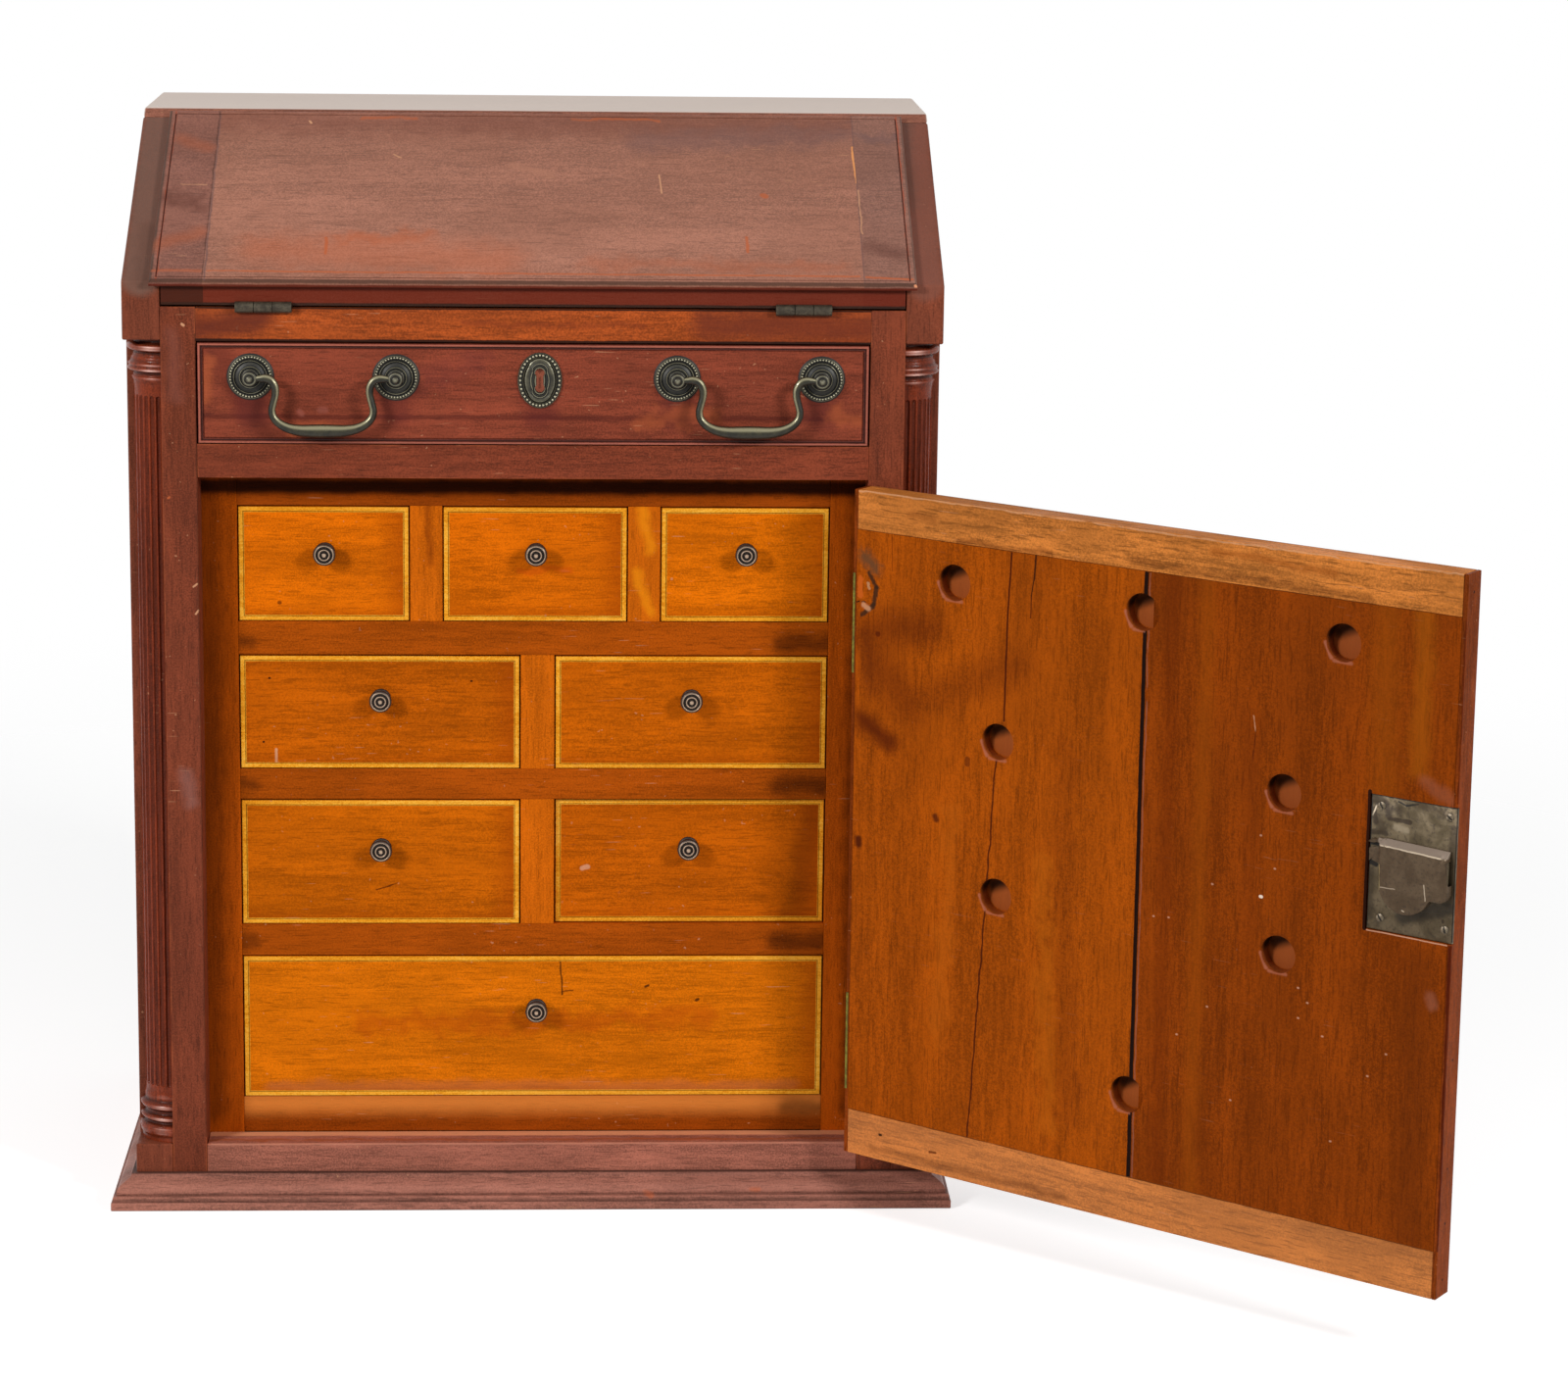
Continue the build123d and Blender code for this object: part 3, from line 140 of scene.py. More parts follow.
class Graph:
    """A short hand for a node tree: every call adds a node and gives back its output."""

    def __init__(self, tree):
        self.tree = tree

    def fill(self, made, inputs):
        """Sets inputs of a node, each to a value or to what another node puts out."""
        for key, value in inputs.items():
            if isinstance(value, bpy.types.NodeSocket):
                self.tree.links.new(value, made.inputs[key])
            else:
                made.inputs[key].default_value = value
        return made.outputs

    def node(self, kind, inputs, output=0, **settings):
        made = self.tree.nodes.new(kind)
        for setting, value in settings.items():
            setattr(made, setting, value)
        return self.fill(made, inputs)[output]

    def math(self, operation, first, second=0.0, clamp=False):
        return self.node("ShaderNodeMath", {0: first, 1: second}, operation=operation, use_clamp=clamp)

    def times(self, first, second, clamp=False):
        return self.math("MULTIPLY", first, second, clamp)

    def vector(self, operation, first, second):
        """A step of vector arithmetic; the product and the distance of two vectors come out as a value."""
        key = "Scale" if operation == "SCALE" else 1
        output = 1 if operation in ("DOT_PRODUCT", "DISTANCE") else 0
        return self.node("ShaderNodeVectorMath", {0: first, key: second}, output, operation=operation)

    def smooth(self, value, start, end):
        inputs = {"Value": value, "From Min": start, "From Max": end}
        return self.node("ShaderNodeMapRange", inputs, interpolation_type="SMOOTHSTEP")

    def mix(self, share, first, second):
        return self.node("ShaderNodeMix", {"Factor": share, 6: first, 7: second}, output=2, data_type="RGBA")

    def noise(self, vector, scale, detail=4.0, roughness=0.5, distortion=0.0):
        return self.node("ShaderNodeTexNoise", {"Vector": vector, "Scale": scale, "Detail": detail,
                                                "Roughness": roughness, "Distortion": distortion})

    def mapped(self, vector, place=(0, 0, 0), turn=(0, 0, 0), scale=(1, 1, 1)):
        return self.node("ShaderNodeMapping", {"Vector": vector, "Location": place, "Rotation": turn, "Scale": scale})

    def parts(self, vector):
        return self.fill(self.tree.nodes.new("ShaderNodeSeparateXYZ"), {0: vector})

    def shades(self, value, tones):
        """A ramp through the dark, the middle and the light tone."""
        made = self.tree.nodes.new("ShaderNodeValToRGB")
        made.color_ramp.elements.new(0.5)
        for element, place, colour in zip(made.color_ramp.elements, FIGURE_STOPS, tones):
            element.position = place
            element.color = colour
        return self.fill(made, {0: value})[0]

    def group(self, tree, inputs):
        made = self.tree.nodes.new("ShaderNodeGroup")
        made.node_tree = tree
        return self.fill(made, inputs)

    def coordinates(self):
        return self.node("ShaderNodeTexCoord", {}, output=3)


def tone(red, green, blue):
    """A colour written as 0 to 255, in linear light."""
    channels = [c / 255 for c in (red, green, blue)]
    return tuple(c / 12.92 if c <= 0.04045 else ((c + 0.055) / 1.055) ** 2.4 for c in channels) + (1.0,)


VECTOR_SOCKETS = ("Vector", "Low", "High", "Start", "End")


def group_tree(name, inputs, outputs):
    """A new shader node group with the named sockets, its graph, what goes into it, and its output node."""
    tree = bpy.data.node_groups.new(name, "ShaderNodeTree")
    for in_out, keys in (("INPUT", inputs), ("OUTPUT", outputs)):
        for key in keys:
            kind = "NodeSocketVector" if key in VECTOR_SOCKETS else "NodeSocketFloat"
            tree.interface.new_socket(name=key, in_out=in_out, socket_type=kind)
    entry = tree.nodes.new("NodeGroupInput")
    leave = tree.nodes.new("NodeGroupOutput")
    return tree, Graph(tree), entry.outputs[:len(inputs)], leave


# Timber: figure, pores and clouds of a board whose grain runs along X
timber, g, (vector, figure_width, streak_share), result = group_tree(
    "timber", ("Vector", "Figure Width", "Streaks"), ("Figure", "Pores", "Clouds", "Height"))
wander = g.times(g.noise(vector, 9.0, 2.0), 0.008)
drift = g.vector("ADD", vector, g.node("ShaderNodeCombineXYZ", {"Y": wander, "Z": wander}))
broad = g.smooth(g.noise(g.mapped(drift, scale=(5, 40, 40)), figure_width, 5.0, 0.6, 0.2), 0.32, 0.68)
fine = g.noise(g.mapped(drift, scale=(28, 360, 360)), 1.0, 4.0, 0.7)
streaks = g.smooth(fine, 0.36, 0.64)
specks = g.noise(g.mapped(vector, scale=(95, 1000, 1000)), 1.0, 2.0, 0.5)
grit = g.noise(vector, 1000.0, 3.0, 0.7)
pore_mask = g.smooth(specks, 0.56, 0.67)
cloud = g.noise(g.mapped(vector, scale=(10, 20, 20)), 1.0, 5.0, 0.65, 0.6)
figure = g.math("ADD", g.times(broad, 0.3), g.times(streaks, streak_share))
grit = g.times(g.smooth(grit, 0.3, 0.7), g.math("SUBTRACT", 0.7, streak_share))
g.fill(result, {"Figure": g.math("ADD", figure, grit), "Pores": pore_mask, "Clouds": cloud,
                "Height": g.math("SUBTRACT", g.times(fine, 0.6), pore_mask)})

# Rubbed edges: how near a point is to an arris of the block between Low and High, broken up by noise
rubbing, g, (vector, low, high, width), result = group_tree(
    "rubbed_edges", ("Vector", "Low", "High", "Width"), ("Rubbed",))
from_low = g.parts(g.vector("SUBTRACT", vector, low))
from_high = g.parts(g.vector("SUBTRACT", high, vector))
gaps = [g.math("ABSOLUTE", g.math("MINIMUM", from_low[axis], from_high[axis])) for axis in range(3)]
total = g.math("ADD", g.math("ADD", gaps[0], gaps[1]), gaps[2])
most = g.math("MAXIMUM", g.math("MAXIMUM", gaps[0], gaps[1]), gaps[2])
least = g.math("MINIMUM", g.math("MINIMUM", gaps[0], gaps[1]), gaps[2])
second = g.math("SUBTRACT", g.math("SUBTRACT", total, most), least)
breaks = g.smooth(g.noise(vector, 45.0, 5.0, 0.65), 0.35, 0.65)
reach = g.times(width, g.math("ADD", g.times(breaks, 1.4), 0.1))
g.fill(result, {"Rubbed": g.smooth(second, reach, 0.0)})

# Patina: tarnish in patches, grime in fine spots and the height of both
patina, g, (vector, patch_scale), result = group_tree(
    "patina", ("Vector", "Patch Scale"), ("Tarnish", "Grime", "Height"))
patches = g.noise(vector, patch_scale, 6.0, 0.65, 0.3)
spots = g.noise(vector, g.times(patch_scale, 6.0), 4.0, 0.6)
g.fill(result, {"Tarnish": g.smooth(patches, 0.35, 0.65), "Grime": g.smooth(spots, 0.5, 0.68),
                "Height": g.math("ADD", patches, g.times(spots, 0.4))})

# Scuffs: thin scratches that run in a few directions, and small nicks
scuffs, g, (vector, amount), result = group_tree("scuffs", ("Vector", "Amount"), ("Scuffs",))
lines = []
for turn in (0.35, 1.2, 2.3):
    cells = g.mapped(vector, turn=(turn, turn, turn), scale=(55, 900, 900))
    lines.append(g.smooth(g.noise(cells, 1.0, 1.0), 0.75, 0.79))
both = g.math("MAXIMUM", g.math("MAXIMUM", lines[0], lines[1]), lines[2])
where = g.smooth(g.noise(vector, 14.0, 3.0), 0.5, 0.6)
nicks = g.smooth(g.noise(vector, 380.0, 1.0), 0.76, 0.79)
spread = g.smooth(g.noise(g.mapped(vector, (3.3, 0, 0)), 20.0, 2.0), 0.46, 0.56)
worn = g.math("MAXIMUM", g.times(both, where), g.times(nicks, spread))
g.fill(result, {"Scuffs": g.times(worn, amount)})

# Stroke: how near a point is to the line from Start to End, with a wandering edge
stroke, g, (vector, start, end, width, softness, wander, wander_scale), result = group_tree(
    "stroke", ("Vector", "Start", "End", "Width", "Softness", "Wander", "Wander Scale"), ("Mask",))
shake = g.node("ShaderNodeTexNoise", {"Vector": vector, "Scale": wander_scale, "Detail": 3.0}, output=1)
shake = g.vector("SCALE", g.vector("SUBTRACT", shake, (0.5, 0.5, 0.5)), wander)
point = g.vector("ADD", vector, shake)
span = g.vector("SUBTRACT", end, start)
offset = g.vector("SUBTRACT", point, start)
along = g.vector("DOT_PRODUCT", offset, span)
square = g.math("MAXIMUM", g.vector("DOT_PRODUCT", span, span), 1e-9)
share = g.math("DIVIDE", along, square, clamp=True)
aside = g.vector("DISTANCE", offset, g.vector("SCALE", span, share))
g.fill(result, {"Mask": g.smooth(aside, width, g.math("SUBTRACT", width, softness))})


def new_material(name):
    """An empty material, its graph, its object coordinates and its Principled shader."""
    material = bpy.data.materials.new(name)
    material.use_nodes = True
    tree = material.node_tree
    tree.nodes.clear()
    shader = tree.nodes.new("ShaderNodeBsdfPrincipled")
    output = tree.nodes.new("ShaderNodeOutputMaterial")
    tree.links.new(shader.outputs[0], output.inputs["Surface"])
    graph = Graph(tree)
    return material, graph, graph.coordinates(), shader


GRAIN_TURNS = {"x": (0, 0, 0), "y": (0, 0, math.pi / 2), "z": (0, math.pi / 2, 0)}
RUB_WIDTH = 0.9
RUB_SHARE = 0.4
DOOR_ORIGIN = (
    -(DOOR_AXIS[0] * math.cos(DOOR_TURN) - DOOR_AXIS[1] * math.sin(DOOR_TURN)) * MM,
    -(DOOR_AXIS[0] * math.sin(DOOR_TURN) + DOOR_AXIS[1] * math.cos(DOOR_TURN)) * MM, 0,
)
DARK = (26, 12, 8)
PALE = (214, 160, 128)
SCRATCH = (206, 150, 112)


def shades_of(red, green, blue, spread=1.0):
    """Four tones round a middle one: darker, the middle, lighter, and that of the pores."""
    middle = tone(red, green, blue)
    shares = (1 - 0.42 * spread, 1.0, 1 + 0.36 * spread, 1 - 0.68 * spread)
    return [tuple(min(c * share, 1.0) for c in middle[:3]) + (1.0,) for share in shares]


FACING = shades_of(122, 60, 40)
WANDER_STEPS = (0.7, 2.5, 8.0, 24.0)


def metres(place):
    return tuple(v * MM for v in place)


def marks(strokes, wander_scale=90.0, where=tuple):
    """Marks painted on a board, each (start, end, width, softness, wander, colour, strength), and a cut mark with its
    depth as well; where turns a place into a point. The wander is taken to the nearest of a few steps, so that many
    marks share one noise."""
    def paint(g, place, colour, rough, height):
        for start, end, width, softness, wander, shade, strength, *depth in strokes:
            wander = min(WANDER_STEPS, key=lambda step: abs(math.log(step / wander)))
            mask = g.group(stroke, {
                "Vector": place, "Start": metres(where(start)), "End": metres(where(end)), "Width": width * MM,
                "Softness": softness * MM, "Wander": wander * MM, "Wander Scale": wander_scale,
            })["Mask"]
            colour = g.mix(g.times(mask, strength), colour, tone(*shade))
            if depth:
                height = g.math("SUBTRACT", height, g.times(mask, depth[0]))
        return colour, rough, height
    return paint


def on_plane(y):
    """Makes a place across and up a point at the depth y; a place of three values is a point already."""
    return lambda place: place if len(place) == 3 else (place[0], y, place[1])


def layers(*painters):
    """Several sets of marks, painted one after another."""
    def paint(g, place, *surface):
        for painter in painters:
            surface = painter(g, place, *surface)
        return surface
    return paint


def wood(name, tones, grain="x", figure=1.0, shift=0.0, block=None, rub_and_highlight_tone=None, pores=0.5, gloss=0.38, sheen=0.1,
         scuff=0.4, clouds=0.35, glow=0.25, board="case", hollows=False, streaks=0.22, grazing_reflection=None, extra=None):
    """Wood with figure, pores, clouds, rubbed edges and scuffs; tones are dark, middle, light and pores. A board
    of the door or lid is painted in its own place: along, out and up on the door, and across, up the slope and
    out on the lid. The door's outer face has a thin facing in the case's colour. A painted reflection of the
    white surroundings pales the colour at a low angle."""
    material, g, place, shader = new_material(name)
    if board == "door":
        place = g.mapped(place, DOOR_ORIGIN, (0, 0, DOOR_TURN))
    if board == "lid":
        place = g.mapped(place, turn=(-SLOPE_ANGLE, 0, 0))
    along = g.mapped(place, (shift, shift * 0.37, shift * 0.61), GRAIN_TURNS[grain])
    grained = g.group(timber, {"Vector": along, "Figure Width": figure, "Streaks": streaks})
    colour = g.shades(grained["Figure"], tones)
    cloud = g.smooth(grained["Clouds"], 0.42, 0.62)
    colour = g.mix(g.times(cloud, clouds), colour, tones[0])
    light = g.smooth(g.noise(g.mapped(along, (0.7, 0.4, 0.2), scale=(9, 26, 26)), 1.0, 3.0, 0.6), 0.5, 0.72)
    colour = g.mix(g.times(light, glow), colour, tones[2])
    colour = g.mix(g.times(grained["Pores"], pores), colour, tones[3])
    rough = g.math("ADD", g.times(cloud, 0.14), gloss)
    height = grained["Height"]
    if block:
        low, high = block
        edges = {"Vector": place, "Low": metres(low), "High": metres(high), "Width": RUB_WIDTH * MM}
        rubbed = g.group(rubbing, edges)["Rubbed"]
        colour = g.mix(g.times(rubbed, RUB_SHARE), colour, tone(*rub_and_highlight_tone))
        rough = g.math("ADD", rough, g.times(rubbed, 0.12))
    scratched = g.group(scuffs, {"Vector": place, "Amount": scuff})["Scuffs"]
    colour = g.mix(scratched, colour, tone(*SCRATCH))
    # The hollow attribute darkens hollows; below nought it lightens ridges with a painted highlight, in the rub tone
    # when one is given.
    if hollows:
        relief = g.node("ShaderNodeAttribute", {}, 2, attribute_name="hollow")
        colour = g.mix(g.times(relief, 0.85, True), colour, tone(*DARK))
        colour = g.mix(g.times(relief, -0.5, True), colour, tone(*rub_and_highlight_tone) if rub_and_highlight_tone else tones[2])
    if extra:
        colour, rough, height = extra(g, place, colour, rough, height)
    if board == "door":
        facing = g.shades(grained["Figure"], FACING)
        outside = g.smooth(g.parts(place)[1], -(DOOR_OUTER + 1.4) * MM, -(DOOR_OUTER + 1.2) * MM)
        colour = g.mix(outside, colour, g.mix(g.times(cloud, 0.35), facing, FACING[0]))
    # Painted reflection: at a low angle the colour pales towards the given tone, standing in for the white
    # surroundings mirrored in the varnish.
    if grazing_reflection:
        low_angle = g.smooth(g.node("ShaderNodeLayerWeight", {"Blend": 0.5}, output=1), 0.4, 0.8)
        colour = g.mix(g.times(low_angle, 0.9), colour, tone(*grazing_reflection))
    bump = g.node("ShaderNodeBump", {"Height": height, "Strength": 0.3, "Distance": 0.0003})
    g.fill(shader, {"Base Color": colour, "Roughness": rough, "Normal": bump, "Specular IOR Level": sheen})
    return material


def metal(name, tones, scale, gloss, metallic=0.4, grime=0.6, hollows=False, sheen=0.4, door=False, extra=None):
    """Metal with patches of tarnish, spots of grime, dark hollows and bright ridges, which are rubbed and carry a
    painted highlight; tones are bright, tarnished, grime and that of the ridges' painted highlight."""
    material, g, place, shader = new_material(name)
    tones = [tone(*shade) for shade in tones]
    if door:
        place = g.mapped(place, DOOR_ORIGIN, (0, 0, DOOR_TURN))
    worn = g.group(patina, {"Vector": place, "Patch Scale": scale})
    colour = g.mix(worn["Tarnish"], tones[0], tones[1])
    dirt = g.times(worn["Grime"], grime)
    if hollows:
        relief = g.node("ShaderNodeAttribute", {}, 2, attribute_name="hollow")
        dirt = g.math("MAXIMUM", dirt, g.times(relief, 0.95))
    colour = g.mix(dirt, colour, tones[2])
    # Below nought the hollow attribute gives ridges rubbed metal with a painted highlight.
    if hollows:
        colour = g.mix(g.times(relief, -0.8, True), colour, tones[3])
    rough = g.math("ADD", g.times(g.math("MAXIMUM", worn["Tarnish"], dirt), 0.22), gloss)
    height = worn["Height"]
    if extra:
        colour, rough, height = extra(g, place, colour, rough, height)
    bare = g.times(g.math("SUBTRACT", 1.0, g.times(dirt, 0.8)), metallic)
    bump = g.node("ShaderNodeBump", {"Height": height, "Strength": 0.4, "Distance": 0.0002})
    g.fill(shader, {"Base Color": colour, "Roughness": rough, "Metallic": bare, "Normal": bump,
                    "Specular IOR Level": sheen})
    return material


# Meshes
MERGE = 0.000002
NODE_MERGE = 0.000005


def make_piece(name, points, faces, body, slot, material, replaced=(), crease=35.0, hollow=None):
    """A piece from arrays of points in millimetres and of faces, merged, closed and turned outwards."""
    shape = bmesh.new()
    depth = shape.verts.layers.float.new("hollow") if hollow is not None else None
    made = [shape.verts.new(point) for point in (np.asarray(points) * MM).tolist()]
    if hollow is not None:
        for vert, value in zip(made, np.asarray(hollow, float).ravel().tolist()):
            vert[depth] = value
    for face in faces.tolist():
        corners = list(dict.fromkeys(face))
        if len(corners) > 2:
            shape.faces.new([made[corner] for corner in corners])
    bmesh.ops.remove_doubles(shape, verts=shape.verts, dist=MERGE)
    bmesh.ops.dissolve_degenerate(shape, edges=shape.edges, dist=MERGE)
    bmesh.ops.recalc_face_normals(shape, faces=shape.faces)
    mesh = bpy.data.meshes.new(name)
    shape.to_mesh(mesh)
    shape.free()
    dress_mesh(name, mesh, body, material, replaced, crease)


def dress_mesh(name, mesh, body, material, replaced, crease):
    """Gives a mesh its shading, finish and body, and hides the frame nodes that it stands for."""
    mesh.shade_smooth()
    mesh.set_sharp_from_angle(angle=math.radians(crease))
    mesh.materials.clear()
    mesh.materials.append(material)
    piece = bpy.data.objects.new(name, mesh)
    bpy.context.scene.collection.objects.link(piece)
    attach(piece, body)
    if replaced:
        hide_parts(*replaced)
    return piece


def sheet_faces(rows, columns, wrap=True):
    """The quads of a grid of points in row order; wrap joins its last column to its first."""
    across = np.arange(columns if wrap else columns - 1)
    down = np.arange(rows - 1)
    row, column = np.meshgrid(down, across, indexing="ij")
    after = (column + 1) % columns
    quads = np.stack([row * columns + column, row * columns + after,
                      (row + 1) * columns + after, (row + 1) * columns + column], axis=-1)
    return quads.reshape(-1, 4)


def sheet(points, wrap=True):
    """A grid of points as a shape of (points, faces)."""
    return points.reshape(-1, 3), sheet_faces(*points.shape[:2], wrap)


def turned(profile, centre, sides=48):
    """A turning round an axis along -Y: a profile of (radius, outward) pairs swept through a full turn."""
    outline = np.asarray(profile, float)
    turn = full_turn(sides)
    radius, out = outline[:, :1], outline[:, 1:]
    return sheet(np.stack([centre[0] + radius * np.cos(turn), centre[1] - out + 0 * turn,
                           centre[2] + radius * np.sin(turn)], axis=-1))


def hollow_of(profile, sides, reach=1.3, full=0.55, shine=0.8):
    """How far each point of a turned profile lies below the highest point within reach of it, from 0 to 1, and
    for a highest point how far it stands above the lowest one, from 0 to minus the shine, which is a painted
    highlight."""
    outline = np.asarray(profile, float)
    near = np.abs(outline[:, None, 0] - outline[None, :, 0]) < reach
    highest = np.where(near, outline[None, :, 1], -99.0).max(axis=1)
    lowest = np.where(near, outline[None, :, 1], 99.0).min(axis=1)
    below = np.clip((highest - outline[:, 1]) / full, 0, 1)
    above = shine * np.clip((outline[:, 1] - lowest) / full, 0, 1) * np.clip(1 - below * 4, 0, 1)
    return np.repeat(below - above, sides)


def joined(shapes):
    """Several (points, faces) shapes as one."""
    points, faces, count = [], [], 0
    for shape_points, shape_faces in shapes:
        points.append(shape_points)
        faces.append(shape_faces + count)
        count += len(shape_points)
    return np.concatenate(points), np.concatenate(faces)


def curve(profile, steps):
    """A smooth profile through the given corners: a Catmull-Rom curve with steps points to each span."""
    knots = np.asarray(profile, float)
    padded = np.concatenate([knots[:1], knots, knots[-1:]])
    share = np.linspace(0, 1, steps, endpoint=False)[:, None]
    spans = []
    for before, start, end, after in zip(padded, padded[1:], padded[2:], padded[3:]):
        spans.append(
            start + 0.5 * share * (end - before)
            + share ** 2 * (before - 2.5 * start + 2 * end - 0.5 * after)
            + share ** 3 * (1.5 * (start - end) + 0.5 * (after - before))
        )
    return np.concatenate(spans + [knots[-1:]])


def softened(node, body, material, radius=0.5):
    """A copy of a frame node whose arrises are eased to the radius by a Bevel modifier."""
    shape = bmesh.new()
    shape.from_mesh(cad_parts[node].data)
    bmesh.ops.remove_doubles(shape, verts=shape.verts, dist=NODE_MERGE)
    bmesh.ops.dissolve_limit(
        shape, angle_limit=math.radians(1.0), verts=shape.verts, edges=shape.edges, use_dissolve_boundaries=False
    )
    mesh = bpy.data.meshes.new(node + "_eased")
    shape.to_mesh(mesh)
    shape.free()
    piece = dress_mesh(node + "_eased", mesh, body, material, (node,), 30.0)
    ease = piece.modifiers.new("eased", "BEVEL")
    ease.width = radius * MM
    ease.segments = 2
    ease.limit_method = "ANGLE"
    ease.angle_limit = math.radians(30.0)
    ease.harden_normals = True


def box_of(node):
    """The corners of a frame node in millimetres."""
    low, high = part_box(node)
    return tuple(v / MM for v in low), tuple(v / MM for v in high)


def middle_of(node):
    """The middle of a frame node as seen from the front: across and up, in millimetres."""
    low, high = box_of(node)
    return mid(low[0], high[0]), mid(low[2], high[2])


def finish_node(node, finish):
    """Gives a frame node its material."""
    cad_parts[node].data.materials.clear()
    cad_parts[node].data.materials.append(finish)


WORN = (176, 92, 52)
ORANGE = (182, 92, 52)
KNOT = (70, 22, 6)
INLAY = [tone(*shade) for shade in ((206, 126, 20), (232, 156, 36), (244, 180, 66), (164, 92, 14))]

# Case
STILE_MARKS = [
    ((-193.6, 510.4), (-194.6, 511), 1, 0.5, 2.5, SCRATCH, 0.8),
    ((-180.2, 503.4), (-183, 503.8), 1.2, 0.5, 2, ORANGE, 0.9),
    ((-188, 364), (-190, 362.5), 0.7, 0.3, 1, SCRATCH, 0.8),
    ((-187.4, 349), (-189, 347), 0.7, 0.3, 1, SCRATCH, 0.8),
    ((-202.6, 413.5), (-203.5, 412.8), 0.8, 0.4, 1, ORANGE, 0.8),
    ((-196, 255), (-194, 238), 7, 7, 8, (140, 96, 88), 0.45),
    ((-200, 505), (-198, 470), 8, 8, 8, (134, 80, 68), 0.3),
    ((-187.2, 40), (-187.2, 505), 0.8, 0.6, 1, DARK, 0.5),
]
HINGE_RAIL_MARKS = [
    ((-186, 508), (-152, 514), 14, 13, 8, (92, 38, 26), 0.85),
    ((96, 512), (186, 510), 16, 15, 8, (104, 44, 28), 0.8),
    ((-40, 512), (60, 511), 3, 2.6, 8, (120, 50, 24), 0.5),
    # Painted shade: black lines in the gap below the rail, over the drawer, and in the gap above it, under the lid's
    # lip.
    ((-187, -119.5, 501.8), (187, -119.5, 501.8), 1.3, 0.6, 0.7, DARK, 0.95),
    ((-206, -119.8, 520.4), (206, -119.8, 520.4), 1.4, 0.6, 0.7, DARK, 0.9),
    ((196, 519), (201, 516), 2, 1.2, 5, PALE, 0.6),
]
BOTTOM_MARKS = [
    ((-184, -103, 35.6), (184, -103, 35.6), 5.6, 3, 2.5, (222, 150, 106), 0.75),
    ((-184, -114, 35.6), (184, -114, 35.6), 2.4, 1.8, 8, (150, 72, 28), 0.6),
    ((-184, -119.6, 35.2), (184, -119.6, 35.2), 1, 0.5, 0.7, (182, 120, 98), 0.6),
]
SLOPE_HAZE = (112, 84, 72)
SIDE_MARKS = [
    ((-217, -120, 536), (-217, 17, 618), 13, 6, 2.5, SLOPE_HAZE, 0.75),
    ((217, -120, 536), (217, 17, 618), 13, 6, 2.5, (124, 76, 62), 0.7),
    ((213, -60, 574), (213, 17, 618), 8, 7, 8, (88, 62, 52), 0.5),
    ((-217, -120, 536), (-217, -80, 560), 8, 7, 8, (90, 60, 48), 0.5),
]
CASE_BOARDS = (
    ("case_side_left", "z", 1.0, (120, 60, 40), SIDE_MARKS, {}),
    ("case_side_right", "z", 1.0, (120, 60, 40), SIDE_MARKS, {}),
    # The top board's pale tone at a low angle is a painted reflection.
    ("top_board", "x", 1.2, (146, 92, 74), (), {"sheen": 0.12, "gloss": 0.9, "grazing_reflection": (255, 240, 229)}),
    ("stile_left", "z", 0.6, (120, 57, 36), STILE_MARKS, {}),
    ("stile_right", "z", 0.6, (120, 57, 36), (), {}),
    ("hinge_rail", "x", 0.5, (166, 76, 30), HINGE_RAIL_MARKS, {}),
    ("drawer_rail", "x", 0.6, (122, 56, 35), (), {}),
    ("bottom_rail", "x", 0.8, (158, 96, 78), BOTTOM_MARKS, {}),
)
for index, (node, grain, radius, colour, strokes, settings) in enumerate(CASE_BOARDS):
    finish = wood(node + "_varnish", shades_of(*colour), grain, shift=0.31 * index, block=box_of(node),
                  rub_and_highlight_tone=WORN, extra=marks(strokes, where=on_plane(FRONT_Y)), **settings)
    softened(node, "case", finish, radius)

# Fall front
LID_OUT = 523.4
# The lip's face is a deeper red and also darker as painted shade under the nosing.
LIP_DARK = (96, 22, 0)


def on_lid(place):
    """A place across and up the slope as a point of the lid's upper face; a third value takes the face's place."""
    return (*place, LID_OUT)[:3]
